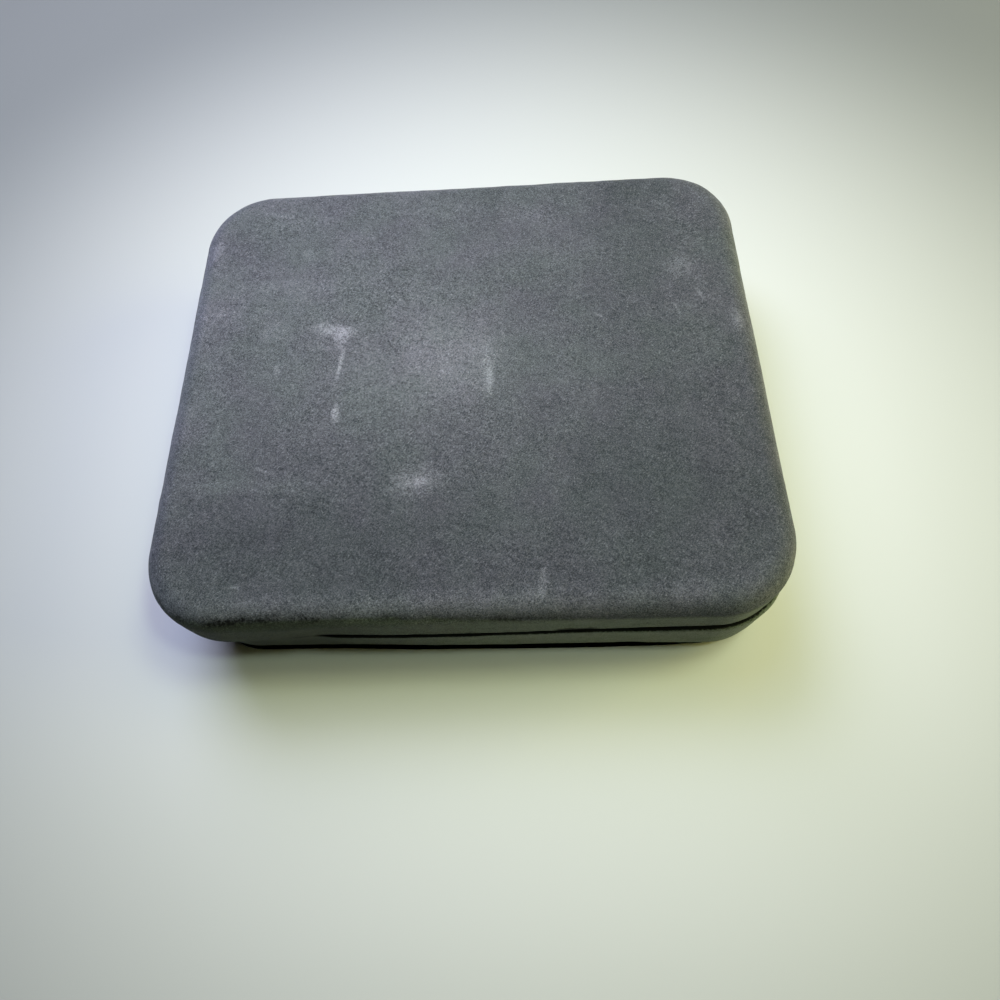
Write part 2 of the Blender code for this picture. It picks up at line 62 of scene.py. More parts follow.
# The case's outline: a rectangle with round corners, shared by both halves
case = {
    "corner": 24 * mm,
    "cornerSteps": 30,
    "frontSteps": 112,
    "sideSteps": 88,
    "rearSteps": 26,
    "notchEdgeSteps": 7,
    "notchSteps": 44,
    "notchHalf": 37.4 * mm,      # half the length of the gap left for the hinge
    "notchBlur": 1.0 * mm,       # how softly the cloth turns at the gap's ends
    "notchDense": 1.6 * mm,      # how far to each side of those ends the stations stand close together
}


# Evenly spaced values from start up to end, without end itself
def steps(start, end, count):
    return np.linspace(start, end, count, endpoint=False)


# 0 at start, 1 at end, a straight line between and level beyond
def ramp(value, start, end):
    return np.clip((value - start) / (end - start), 0, 1)


# An S from 0 to 1: share^2 x (3 - 2 x share)
def smooth(share):
    return share * share * (3 - 2 * share)


# A bell curve: e^-((value - middle) / reach)^2
def bell(value, middle, reach):
    return np.exp(-((value - middle) / reach) ** 2)


# The same directions with a length of 1: each vector divided by its own length
def unit(vectors):
    return vectors / np.maximum(np.linalg.norm(vectors, axis=-1, keepdims=True), 1e-12)


# The way along a path from its start to each of its points: the lengths of its pieces added up
def wayAlong(path):
    return np.concatenate([[0], np.cumsum(np.linalg.norm(np.diff(path, axis=0), axis=1))])


# Stations round the case, anticlockwise from the front's left end. Each has a core point, on the rectangle
# through the corner circles' centres, and an outward direction: core + distance x direction gives any
# parallel outline.
def outlineStations():
    reachX, reachY = halfWidth - case["corner"], halfDepth - case["corner"]
    turn = steps(0, math.pi / 2, case["cornerSteps"])
    notch, dense = case["notchHalf"], case["notchDense"]
    rearStops = [
        (reachX, notch + dense, case["rearSteps"]),
        (notch + dense, notch - dense, case["notchEdgeSteps"]),
        (notch - dense, -notch + dense, case["notchSteps"]),
        (-notch + dense, -notch - dense, case["notchEdgeSteps"]),
        (-notch - dense, -reachX, case["rearSteps"]),
    ]
    rearX = np.concatenate([steps(*stops) for stops in rearStops])
    frontX = steps(-reachX, reachX, case["frontSteps"])
    sideY = steps(-reachY, reachY, case["sideSteps"])
    runs = [
        (frontX, -reachY, -math.pi / 2),
        (reachX, -reachY, turn - math.pi / 2),
        (reachX, sideY, 0.0),
        (reachX, reachY, turn),
        (rearX, reachY, math.pi / 2),
        (-reachX, reachY, turn + math.pi / 2),
        (-reachX, -sideY, math.pi),
        (-reachX, -reachY, turn + math.pi),
    ]
    x, y, angle = np.concatenate([np.stack(np.broadcast_arrays(*run)) for run in runs], 1)
    return np.stack([x, y], 1), np.stack([np.cos(angle), np.sin(angle)], 1)


core, outward = outlineStations()
rim = core + case["corner"] * outward
bearing = np.degrees(np.arctan2(rim[:, 1], rim[:, 0]))      # -90 is the front, 0 the right side
ones = np.ones(len(core))


# 1 where the hinge's gap is and 0 elsewhere, joined by a smoothstep of the distance past the gap's end
def hingeGap():
    half, blur = case["notchHalf"], case["notchBlur"] / 2
    atRear = (outward[:, 1] > 0.99) & (rim[:, 1] > 0)
    return np.where(atRear, smooth(ramp(np.abs(rim[:, 0]), half + blur, half - blur)), 0.0)


inGap = hingeGap()


# Smooth random values from -1 to 1: random numbers on a cubic lattice of that size, blended between the
# lattice's corners by smoothstep weights
def softNoise(points, size, seed):
    cells, shift = 32, 1000.0      # the lattice repeats after that many cells, and is moved by so many
    lattice = np.random.RandomState(seed).uniform(-1, 1, (cells, cells, cells))
    cell = np.asarray(points) / size + shift
    low = np.floor(cell).astype(int)
    part = smooth(cell - low)
    total = 0.0
    for corner in np.ndindex(2, 2, 2):
        weight = np.prod([part[..., k] if corner[k] else 1 - part[..., k] for k in range(3)], axis=0)
        total = total + weight * lattice[tuple((low[..., k] + corner[k]) % cells for k in range(3))]
    return total


# Noise of several sizes added up, from (size, height) pairs, each with the next seed
def lumps(points, pairs, seed):
    return sum(softNoise(points, size, seed + k) * height for k, (size, height) in enumerate(pairs))


# Unit normals of a grid that closes along its columns: the cross product of its two differences, turned
# away from the piece's middle
def gridNormals(grid):
    across = np.roll(grid, -1, 1) - np.roll(grid, 1, 1)
    normal = unit(np.cross(np.gradient(grid, axis=0), across))
    away = np.sum(normal * (grid - grid.reshape(-1, 3).mean(0)))
    return normal if away > 0 else -normal


# An object of that mesh, light or camera, in the scene
def addObject(name, data):
    made = bpy.data.objects.new(name, data)
    bpy.context.scene.collection.objects.link(made)
    return made


# One value for each point of a mesh, for its material to read
def addLayer(mesh, name, values):
    layer = mesh.attributes.new(name, "FLOAT", "POINT")
    layer.data.foreach_set("value", values.astype(np.float32))


# A mesh from rows x columns of points that close along the columns: a quad between each four neighbours, and
# at each end a fan to its pole, which is the end row's middle where none is given. With wrapRows the last row
# joins the first instead. The faces are turned outwards by the sign of the volume that they close.
def gridPiece(name, grid, wrapRows=False, poles=None, layers=None):
    rows, cols = grid.shape[:2]
    index = np.arange(rows * cols).reshape(rows, cols)
    above = index if wrapRows else index[:-1]
    below = np.roll(index, -1, 0) if wrapRows else index[1:]
    quads = np.stack([above, below, np.roll(below, -1, 1), np.roll(above, -1, 1)], -1).reshape(-1, 4)
    points = grid.reshape(-1, 3)
    tips = () if wrapRows else poles or (grid[0].mean(0), grid[-1].mean(0))
    fans = []
    for tip, row, turn in zip(tips, (index[0], index[-1]), (1, -1)):
        fans.append(np.stack([np.full(cols, len(points)), row, np.roll(row, -1)][::turn], 1))
        points = np.vstack([points, tip])
    a, b, c, d = (points[quads[:, k]] for k in range(4))
    turn = 1 if np.sum(np.einsum("ij,ij->i", a, np.cross(b, c) + np.cross(c, d))) > 0 else -1
    faces = quads[:, ::turn].tolist()
    for fan in fans:
        faces += fan[:, ::turn].tolist()
    mesh = bpy.data.meshes.new(name)
    mesh.from_pydata(points.tolist(), [], faces)
    mesh.shade_smooth()
    for key, values in (layers or {}).items():
        atPoles = np.full(len(points) - values.size, values.flat[0])
        addLayer(mesh, key, np.concatenate([values.reshape(-1), atPoles]))
    return addObject(name, mesh)


# Rings from (inset, height) rows: the case's outline moved in by the inset, at that height. Both may vary
# round the case.
def parallelRings(rows):
    inset, height = (np.array([row[k] * ones for row in rows]) for k in range(2))
    reach = case["corner"] - inset
    return np.stack([core[:, 0] + reach * outward[:, 0], core[:, 1] + reach * outward[:, 1], height], -1)


# Rows between a ring and the middle of the case: the ring scaled in X and Y by each share
def shrunkRings(ring, shares):
    return ring[None] * np.stack([shares, shares, np.ones(len(shares))], 1)[:, None]


# How far in from the case's outer outline a point is: the distance to a rectangle with round corners
def insetOf(x, y):
    beyondX = np.abs(x) - (halfWidth - case["corner"])
    beyondY = np.abs(y) - (halfDepth - case["corner"])
    outside = np.hypot(np.maximum(beyondX, 0), np.maximum(beyondY, 0))
    return case["corner"] - outside - np.minimum(np.maximum(beyondX, beyondY), 0)


# Angles from 0 to 90 degrees
def quarter(count):
    return np.linspace(0, math.pi / 2, count)


# Rows of (inset, height) along a quarter of a circle: its centre + across x cos(a), and + rise x sin(a)
def quarterTurn(inset, height, across, rise, count):
    return [(inset + across * math.cos(a), height + rise * math.sin(a)) for a in quarter(count)]


# Gives a piece its material and the body that it rides on, and hides the CAD nodes that it stands for.
# slotName is not used.
def place(piece, body, slotName, material, *cadNodes):
    piece.data.materials.append(material)
    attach(piece, body)
    if cadNodes:
        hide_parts(*cadNodes)
    return piece


# Adds a shader node, with its settings, and its inputs as values or as links
def node(mat, kind, settings=None, inputs=None):
    made = mat.node_tree.nodes.new(kind)
    for key, value in (settings or {}).items():
        setattr(made, key, value)
    for key, value in (inputs or {}).items():
        if isinstance(value, bpy.types.NodeSocket):
            mat.node_tree.links.new(value, made.inputs[key])
        else:
            made.inputs[key].default_value = value
    return made


# One sum of up to three values or links
def calc(mat, operation, first, second=0.0, third=0.0):
    return node(mat, "ShaderNodeMath", {"operation": operation}, {0: first, 1: second, 2: third}).outputs[0]


# One colour for a share of 0 and the other for 1. Past 1 it goes on in a straight line, up to most.
def mixColour(mat, share, first, second, most=1.0):
    held = node(mat, "ShaderNodeClamp", {}, {0: share, 2: most}).outputs[0]
    return node(mat, "ShaderNodeMix", {"data_type": "RGBA", "clamp_factor": False},
                {0: held, 6: first, 7: second}).outputs[2]


# A smoothstep from one result to the other, while the value goes from near to far
def fade(mat, value, near, far, atNear=0.0, atFar=1.0):
    ends = {"Value": value, "From Min": near, "From Max": far, "To Min": atNear, "To Max": atFar}
    return node(mat, "ShaderNodeMapRange", {"interpolation_type": "SMOOTHSTEP"}, ends).outputs[0]


# Noise whose grains are that size across, and stretch times as long along their own X after the turn
def grain(mat, coords, size, detail=2.0, roughness=0.5, turn=(0, 0, 0), stretch=(1, 1, 1)):
    placed = node(mat, "ShaderNodeMapping", {"vector_type": "TEXTURE"},
                  {"Vector": coords, "Rotation": turn, "Scale": stretch})
    made = node(mat, "ShaderNodeTexNoise", {},
                {"Vector": placed.outputs[0], "Scale": 1 / size, "Detail": detail, "Roughness": roughness})
    return made.outputs[0]


# One of the values that addLayer gave the mesh
def attribute(mat, name):
    return node(mat, "ShaderNodeAttribute", {"attribute_name": name}).outputs["Fac"]


# A material with those shader settings, its shader, and the object's own coordinates
def newMaterial(name, sockets):
    mat = bpy.data.materials.new(name)
    mat.use_nodes = True
    shader = mat.node_tree.nodes["Principled BSDF"]
    for key, value in sockets.items():
        shader.inputs[key].default_value = value
    return mat, shader, node(mat, "ShaderNodeTexCoord").outputs["Object"]


# Links a material's colour, its relief and, where it varies, its roughness. The relief is its strength and
# its greatest height.
def finishWith(mat, shader, colour, height, relief, roughness=None):
    made = node(mat, "ShaderNodeBump", {}, {"Height": height, "Strength": relief[0], "Distance": relief[1]})
    mat.node_tree.links.new(colour, shader.inputs["Base Color"])
    mat.node_tree.links.new(made.outputs[0], shader.inputs["Normal"])
    if roughness is not None:
        mat.node_tree.links.new(roughness, shader.inputs["Roughness"])
    return mat


outerVelvet = {
    "sockets": {"Roughness": 0.95, "Sheen Weight": 0.16, "Sheen Roughness": 0.40,
                "Sheen Tint": (0.72, 0.77, 0.80, 1), "Specular IOR Level": 0.10},
    "dark": (0.036, 0.040, 0.0465, 1),
    "light": (0.266, 0.266, 0.294, 1),
    "paintedShadeSideDark": (0.034, 0.040, 0.029, 1),
    "paintedShadeSideLight": (0.205, 0.230, 0.180, 1),
    "black": (0.001, 0.001, 0.001, 1),         # painted shade in the seam and along the fold
    "cool": (1.01, 0.985, 1.025, 1),           # tints that drift across the pile
    "green": (0.975, 1.015, 0.985, 1),
    "napTurn": (0, 0, math.radians(-30)),      # the way the pile was brushed
    "crossTurn": (0, 0, math.radians(48)),     # the way some fibres cross it
    "fibre": 0.28 * mm,                        # sizes across, from single fibres to the broad lay
    "fibreLength": (2.0, 1, 1),
    "clumpLength": (1.6, 1, 1),
    "speck": 0.50 * mm,
    "fleck": 0.42 * mm,
    "paintedDark": 0.8 * mm,
    "clump": 1.2 * mm,
    "patch": 6 * mm,
    "lay": 40 * mm,
    "tint": 17 * mm,
    "fibreContrast": 2.4,
    "fleckContrast": 2.2,
    "speckContrast": 0.8,
    "clumpContrast": 0.50,
    "patchContrast": 0.30,
    "layContrast": 0.20,
    "markContrast": 0.62,
    "middle": 0.345,
    "brightest": 1.5,                          # how far past the light colour a fibre may go
    "speckBelow": 0.42,                        # dark specks show where their noise is below this
    "fleckAbove": 0.56,                        # and bright flecks where theirs is above this
    "brighterBy": 0.06,                        # how far the brighter of two noises lies over one, on average
    "gain": (1.5, 0.40),                       # how strong the noises are: times the tone, and plus
    "markRagged": (0.8, 0.2),                  # the same for how clumps and fibres break up the marks
    "drift": (3.0, -1.0),                      # and for how the tint follows its noise
    "paintedDarkRagged": 11.0,                     # how ragged the edges of the painted shade are
    "paintedDarkGain": 1.3,                        # how soon it is black, and how black at most
    "paintedDarkMost": 0.97,
    "clumpRelief": 0.6,                        # the clumps' share in the relief, where a fibre's is 1
    "relief": (0.55, 0.20 * mm),
}

# Rubbed and pressed places in the pile on the lid: middle, half length and half width in mm, turn in degrees,
# strength, and how much narrower the far end is
lidMarks = [
    (-43.4, 16.0, 10.4, 4.0, -14, 1.00, 0.0),        # the Y mark: its bar, fork and stem
    (-41.0, 12.6, 7.0, 5.2, -97, 0.80, 0.85),
    (-40.6, 2.0, 10.6, 1.5, -97, 0.88, 0.45),
    (-36.4, 16.0, 5.0, 1.0, 46, 0.40, 0.0),
    (-40.7, -15.8, 4.6, 1.4, -87, 1.15, -0.80),      # the dot under it
    (-14.3, -40.8, 5.0, 2.6, 4, 0.55, 0.0),          # the patch below the middle
    (-14.3, -40.6, 12.5, 8.0, 8, 0.46, 0.0),
    (-3.2, 2.5, 26.0, 20.0, 13, 0.20, 0.0),          # the glow at the middle, with its streak
    (7.0, -1.5, 15.0, 3.6, -89, 0.34, 0.0),
    (7.8, -6.0, 10.0, 1.5, -89, 0.46, 0.0),
    (12.4, 12.1, 5.6, 1.0, -80, 0.28, 0.0),
    (-88.4, 54.0, 7.0, 2.6, 86, 0.45, 0.0),          # faint ones, left and then right
    (-85.4, 25.0, 7.3, 4.6, -3, 0.22, 0.0),
    (-63.9, 17.1, 7.0, 5.4, -3, 0.25, 0.0),
    (-61.1, 1.3, 3.5, 1.4, -84, 0.45, 0.0),
    (-54.7, 49.1, 5.2, 3.8, -44, 0.24, 0.0),
    (-61.9, -35.0, 3.6, 0.9, -23, 0.45, 0.0),
    (-69.6, -28.4, 5.6, 1.0, -13, 0.20, 0.0),
    (-66.5, 69.4, 7.8, 2.4, -14, 0.16, 0.0),
    (72.3, 35.8, 8.2, 6.4, 17, 0.28, 0.0),
    (77.8, 24.7, 3.9, 1.1, -62, 0.32, 0.0),
    (69.5, 18.6, 4.3, 1.0, -75, 0.28, 0.0),
    (88.5, 13.8, 7.4, 3.2, -87, 0.34, 0.0),
    (44.0, 17.3, 4.3, 0.8, -38, 0.38, 0.0),
    (69.3, 65.9, 5.0, 1.9, -15, 0.20, 0.0),
    (22.8, 63.5, 6.0, 4.4, -15, 0.15, 0.0),
    (54.8, -10.6, 2.8, 0.8, -70, 0.25, 0.0),
    (-64.0, -40.6, 34.0, 3.6, -3, 0.13, 0.0),
    (-64.2, 35.8, 38.0, 4.5, -4, 0.12, 0.0),
    (21.5, -73.4, 6.8, 1.8, -98, 0.35, 0.0),         # the tick and the dash at the front
    (-65.4, -71.7, 2.6, 0.9, 6, 0.50, 0.0),
]


# A soft oval of the pile: full strength near its middle, falling by a smoothstep to none at its edge. It
# narrows along its length: across is divided by 1 - taper x (along + 1) / 2.
def markMask(mat, coords, mark, height):
    x, y, halfLength, halfAcross, turn, strength, taper = mark
    placed = node(mat, "ShaderNodeMapping", {"vector_type": "TEXTURE"}, {
        "Vector": coords,
        "Location": (x * mm, y * mm, height),
        "Rotation": (0, 0, math.radians(turn)),
        "Scale": (halfLength * mm, halfAcross * mm, 1.0),
    })
    parts = node(mat, "ShaderNodeSeparateXYZ", {}, {0: placed.outputs[0]}).outputs
    narrow = calc(mat, "MULTIPLY_ADD", parts[0], -taper / 2, 1 - taper / 2)
    narrow = calc(mat, "MAXIMUM", narrow, 0.08)
    shape = node(mat, "ShaderNodeCombineXYZ", {}, {0: parts[0], 1: calc(mat, "DIVIDE", parts[1], narrow)})
    away = node(mat, "ShaderNodeVectorMath", {"operation": "LENGTH"}, {0: shape.outputs[0]})
    return fade(mat, away.outputs["Value"], 0.15, 1.0, strength, 0.0)


# Short flocked pile. Its tone is a middle value and the rubbed marks, with the brighter of two crossing sets
# of fibres, clumps, patches and broad lay added, each its own noise about 0.5 and stronger where the pile is
# lighter. Dark specks are taken away and bright flecks added, so single fibres pass the light colour. A slow
# tint drifts across, the sides take a duller, warmer copy of the colours as painted shade, and painted shade
# in the seam and along the fold is black with ragged edges.
def velvetMaterial(name, look, marks=(), markHeight=0.0):
    mat, shader, coords = newMaterial(name, look["sockets"])
    brushed = grain(mat, coords, look["fibre"], 3.0, 0.6, look["napTurn"], look["fibreLength"])
    crossed = grain(mat, coords, look["fibre"], 3.0, 0.6, look["crossTurn"], look["fibreLength"])
    fibre = calc(mat, "SUBTRACT", calc(mat, "MAXIMUM", brushed, crossed), look["brighterBy"])
    clump = grain(mat, coords, look["clump"], 2.0, 0.6, look["napTurn"], look["clumpLength"])
    patch = grain(mat, coords, look["patch"], 3.0, 0.55)
    lay = grain(mat, coords, look["lay"], 1.0, 0.4)
    share = calc(mat, "ADD", attribute(mat, "tone"), look["middle"])
    if marks:
        total = 0.0
        for mark in marks:
            total = calc(mat, "ADD", markMask(mat, coords, mark, markHeight), total)
        ragged = calc(mat, "MULTIPLY_ADD", calc(mat, "ADD", clump, fibre), *look["markRagged"])
        pressed = calc(mat, "MULTIPLY", calc(mat, "MULTIPLY", total, ragged), look["markContrast"])
        share = calc(mat, "ADD", share, pressed)
    gain = calc(mat, "MULTIPLY_ADD", share, *look["gain"])
    for noise, kind in ((fibre, "fibre"), (clump, "clump"), (patch, "patch"), (lay, "lay")):
        centred = calc(mat, "MULTIPLY", calc(mat, "SUBTRACT", noise, 0.5), gain)
        share = calc(mat, "MULTIPLY_ADD", centred, look[kind + "Contrast"], share)
    speck = calc(mat, "SUBTRACT", look["speckBelow"], grain(mat, coords, look["speck"], 1.0))
    share = calc(mat, "MULTIPLY_ADD", calc(mat, "MAXIMUM", speck, 0.0), -look["speckContrast"], share)
    fleck = grain(mat, coords, look["fleck"], 1.0, 0.5, look["crossTurn"], look["fibreLength"])
    fleck = calc(mat, "MAXIMUM", calc(mat, "SUBTRACT", fleck, look["fleckAbove"]), 0.0)
    share = calc(mat, "MULTIPLY_ADD", calc(mat, "MULTIPLY", fleck, gain), look["fleckContrast"], share)
    flat = mixColour(mat, share, look["dark"], look["light"], look["brightest"])
    paintedShadeSideColour = mixColour(mat, share, look["paintedShadeSideDark"], look["paintedShadeSideLight"])
    # painted shade: where the side layer is 1 the colours are the darker, greener shaded copy
    colour = mixColour(mat, attribute(mat, "side"), flat, paintedShadeSideColour)
    drift = calc(mat, "MULTIPLY_ADD", grain(mat, coords, look["tint"], 2.0), *look["drift"])
    tinted = node(mat, "ShaderNodeMix", {"data_type": "RGBA", "blend_type": "MULTIPLY"},
                  {0: 1.0, 6: colour, 7: mixColour(mat, drift, look["cool"], look["green"])}).outputs[2]
    # painted shade: the seam and the fold go near black, with ragged edges
    paintedDark = attribute(mat, "paintedShade")
    ragged = calc(mat, "SUBTRACT", grain(mat, coords, look["paintedDark"], 3.0, 0.7), 0.5)
    halfWay = calc(mat, "MULTIPLY", paintedDark, calc(mat, "SUBTRACT", 1.0, paintedDark))
    ragged = calc(mat, "MULTIPLY", ragged, halfWay)
    paintedDark = calc(mat, "MULTIPLY", paintedDark, look["paintedDarkGain"])
    paintedDark = calc(mat, "MULTIPLY_ADD", ragged, look["paintedDarkRagged"], paintedDark)
    paintedDark = calc(mat, "MINIMUM", calc(mat, "MAXIMUM", paintedDark, 0.0), 1.0)
    colour = mixColour(mat, calc(mat, "MULTIPLY", paintedDark, look["paintedDarkMost"]), tinted, look["black"])
    pile = calc(mat, "MULTIPLY_ADD", clump, look["clumpRelief"], fibre)
    return finishWith(mat, shader, colour, pile, look["relief"])


# The cloth over the two halves
cloth = {
    "topRadius": 7.5 * mm,
    "footRadius": 7.5 * mm,
    "rimRadius": 0.8 * mm,
    "thickness": 1.0 * mm,
    "rimWidth": 4.6 * mm,
    "hemDepth": 5.0 * mm,
    "turnedUnder": 10.0 * mm,
    "gapRimWidth": 3.3 * mm,      # rim, hem and edge where the hinge crosses them
    "gapHemDepth": 0.3 * mm,
    "gapRise": 1.85 * mm,
    "crown": 0.45 * mm,
    "edgeRows": 13,               # rows down the outside: the rounded edge, the wall and the rim's two turns
    "wallRows": 8,
    "rimRows": 6,
    "innerRimRows": 5,
    "lumps": ((34 * mm, 0.16 * mm), (11 * mm, 0.10 * mm), (4.2 * mm, 0.07 * mm), (2.1 * mm, 0.05 * mm)),
    "calmTop": 0.55,              # how much less the lumps are on the flat top, and over what height
    "calmDepth": 0.8 * mm,
    "liningReach": 4.75 * mm,     # how far in a layer still follows a wall that stands out: inside the wall,
    "riserReach": 6.4 * mm,       # over the foot and, at the widest, under the base, at the heights below
    "reachHeights": (3.6 * mm, 4.2 * mm, 8 * mm),
    "stillTop": 4 * mm,           # the lid stands out from this far under its top, and in full this far over
    "fullOver": 1 * mm,           # its lower edge
    "footHeight": 6 * mm,         # the base changes over from its foot's table to its rim's from here up
    "paintedLightBandInset": 4.4 * mm,        # the painted light band just inside the front edge: place and reach, strength, size of its spots, and the heights about the fold between which it starts
    "paintedLightBandReach": 3.4 * mm,        # size of its spots, and the heights about the fold between which it starts
    "paintedLightBandAmount": 0.10,
    "paintedLightBandSpots": 4.5 * mm,
    "paintedLightBandOverFold": (-0.24 * mm, 0.56 * mm),
    "paintedLightBandAtFront": (1.6 / 3, 2.6 / 3),      # shares of the way to the front where it starts and is full
    "paintedSheenReach": 1.4 * mm,         # the same for the painted sheen on the top's edge
    "paintedSheenSpots": 2.4 * mm,
    "paintedSheenOverFold": (-0.3 * mm, 0.7 * mm),
    "spotAmount": 0.5,            # how much the spots change the painted light band and the painted sheen on the edge
    "wallUnderFold": -1.0 * mm,   # where the walls' painted shading is full
    "blotch": 4.5 * mm,           # sizes of the patches of painted shade along the fold, and how strong each is
    "smallBlotch": 1.9 * mm,
    "blotchAmounts": (0.6, 0.5),
    "blotchSquash": (1, 1, 1.6),  # the large ones are lower than they are wide
    "foldMost": 0.8,
    "foldBroken": (0.65, 0.9),    # its strength between the patches, and how much they change it
    "seamBroken": (1.3, 0.6),     # the same over the seam, where it is over 1 to stay full for a while
    "foldAbove": 0.1 * mm,        # its middle over the fold and its reach, and how far in it goes
    "foldReach": 1.1 * mm,
    "foldInset": 6 * mm,
    "overSeam": 2.2 * mm,         # its reach over the seam, and the height from which there is none
    "overSeamMost": 5 * mm,
    "wander": ((5 * mm, 0.5 * mm), (1.6 * mm, 0.3 * mm)),      # of the line where the sides' painted shade starts
    "paintedShadeFade": 0.7 * mm,
    "basePaintedShading": (1.25, -0.14),    # the base's painted shading: the walls' times this, and plus this
    "baseSpots": 6 * mm,
    "baseSpotAmount": 0.05,
    "paintedShadowSoleInner": 9.4 * mm,
    "paintedShadowSoleTop": 0.45 * mm,
    "paintedShadowSoleBevel": 0.08 * mm,
}

# What changes round the case, as (bearing in degrees, value): lengths in mm, tones as shares
aroundCase = {
    # how far the lid's lower edge stands out, or in where below zero
    "lidOut": [(-180, 0.4), (-155, 0.6), (-139, 0.4), (-128, -0.3), (-121, -0.6), (-118, -1.2),
               (-113, -0.9), (-104, -0.5), (-94, -0.2), (-80, -0.3), (-60, -0.5), (-50, -0.4), (-41, -0.2),
               (-25, -0.3), (0, -0.2), (60, 0.0), (120, 0.0), (180, 0.4)],
    # how far the base's rim and its foot stand out
    "rimOut": [(-180, -0.3), (-155, -1.6), (-139, -2.4), (-124, -1.6), (-119, -1.2), (-116, -0.5),
               (-104, 0.1), (-94, 0.3), (-66, 0.3), (-58, 0.7), (-41, 1.3), (-25, 0.7), (0, 0.1), (90, 0.0),
               (180, -0.3)],
    "footOut": [(-180, -1.2), (-155, -3.6), (-139, -4.4), (-118, -3.5), (-104, -2.4), (-90, -2.0),
                (-75, -1.5), (-60, -1.2), (-50, -0.2), (-41, 0.9), (-30, 0.6), (-20, 0.2), (0, -0.2),
                (90, 0.0), (180, -1.2)],
    # how far inside the foot's widest line the black sheet of painted contact shadow ends
    "paintedShadowSoleIn": [(-180, 2.0), (-141, 1.8), (-136, 0.1), (-62, 0.1), (-56, 0.5), (-49, 1.7), (-41, 2.0),
               (180, 2.0)],
    # half the seam's opening, and how many rows of the base's rim lie outside its painted shade
    "seamHalf": [(-180, 0.20), (-140, 0.10), (-123, 0.06), (-119, 0.30), (-113, 0.42), (-98, 0.38),
                 (-76, 0.22), (-72, 0.12), (-66, 0.12), (-62, 0.44), (-46, 0.40), (-25, 0.36), (45, 0.35),
                 (135, 0.32), (180, 0.20)],
    "seamLit": [(-180, 0.0), (-118, 0.0), (-114, -1.0), (-95, -1.0), (-70, 0.0), (-52, 1.0), (-41, 2.4),
                (-20, 1.0), (0, 0.0), (180, 0.0)],
    # where the pile turns over to the wall, and how much painted shade lies there and just over the seam
    "foldHeight": [(-180, 40.5), (-139, 41.2), (-125, 42.6), (-112, 42.6), (-98, 41.6), (-80, 40.5),
                   (-60, 39.2), (-41, 38.5), (-20, 37.8), (40, 38.0), (90, 40.0), (180, 40.5)],
    "foldPaintedShade": [(-180, 0.1), (-145, 0.4), (-138, 1.0), (-119, 1.0), (-113, 0.5), (-96, 0.32), (-90, 0.40),
                 (-82, 0.80), (-75, 0.45), (-66, 0.28), (-48, 0.2), (-41, 0.1), (0, 0.0), (180, 0.1)],
    "overSeamPaintedShade": [(-180, 0.0), (-124, 0.0), (-121, 0.7), (-115, 0.6), (-113, 0.1), (-96, 0.1), (-94, 0.5),
                 (-90, 0.5), (-87, 0.0), (-74, 0.0), (-72.5, 1.2), (-67, 1.2), (-65.5, 0.0), (180, 0.0)],
    # where the painted sheen on the top's edge lies, in from the side, and how much
    "paintedSheenInset": [(-180, 1.9), (-139, 1.6), (-41, 1.0), (0, 1.1), (45, 2.0), (90, 3.4), (135, 3.0),
                  (180, 1.9)],
    "paintedSheenTone": [(-180, 0.20), (-139, 0.12), (-125, 0.0), (-50, 0.0), (-38, 0.26), (0, 0.32), (45, 0.24),
                 (90, 0.17), (180, 0.20)],
    # painted light and shade on the walls, and a painted light band just inside the top's edge
    "paintedWallShading": [(-180, -0.12), (-139, -0.17), (-118, -0.10), (-110, 0.08), (-95, 0.31), (-72, 0.46),
                 (-60, 0.52), (-50, 0.47), (-30, 0.25), (0, 0.06), (90, 0.06), (180, -0.12)],
    "paintedLightBandTone": [(-180, 0.3), (-139, 0.6), (-128, 1.0), (-118, 1.8), (-100, 2.0), (-80, 1.9), (-60, 1.6),
                 (-41, 0.7), (0, 0.3), (180, 0.3)],
}


# One of those tables at each station: straight lines between its bearings
def byBearing(name):
    return np.interp(bearing, *zip(*aroundCase[name]))


# Insets and heights down the cloth from its closed side's edge: a quarter turn round that edge, the wall,
# the rim's two small quarter turns, the hem up inside, then the same way back one thickness further in.
# up is 1 where the closed side is over the rim, and -1 where it is under it.
def wrapProfile(rimHeight, up, closedRadius, closedHeight):
    turn, thick = cloth["rimRadius"], cloth["thickness"]
    rimWidth = cloth["rimWidth"] + (cloth["gapRimWidth"] - cloth["rimWidth"]) * inGap
    hem = cloth["hemDepth"] + (cloth["gapHemDepth"] - cloth["hemDepth"]) * inGap
    centre = closedHeight - up * closedRadius
    wallEnd = rimHeight + up * turn
    inner = closedRadius - thick
    rows = quarterTurn(closedRadius, centre, -closedRadius, up * closedRadius, cloth["edgeRows"])[::-1]
    shares = np.linspace(0, 1, cloth["wallRows"] + 2)[1:-1]
    rows += [(0.0, centre + (wallEnd - centre) * share) for share in shares]
    rows += quarterTurn(turn, wallEnd, -turn, -up * turn, cloth["rimRows"])
    rows += [(rimWidth * 0.5, rimHeight)]
    rows += quarterTurn(rimWidth - turn, wallEnd, turn, -up * turn, cloth["innerRimRows"])[::-1]
    rows += [
        (rimWidth, wallEnd + up * hem * 0.5),
        (rimWidth, wallEnd + up * hem),
        (rimWidth - thick * 0.5, wallEnd + up * (hem + thick * 0.35)),
        (rimWidth - thick, wallEnd + up * hem),
        (rimWidth - thick, wallEnd),
        (rimWidth - thick, rimHeight + up * thick),
        (thick, rimHeight + up * thick),
        (thick, wallEnd + up * thick),
    ]
    return rows + quarterTurn(closedRadius, centre, -inner, up * inner, 6)


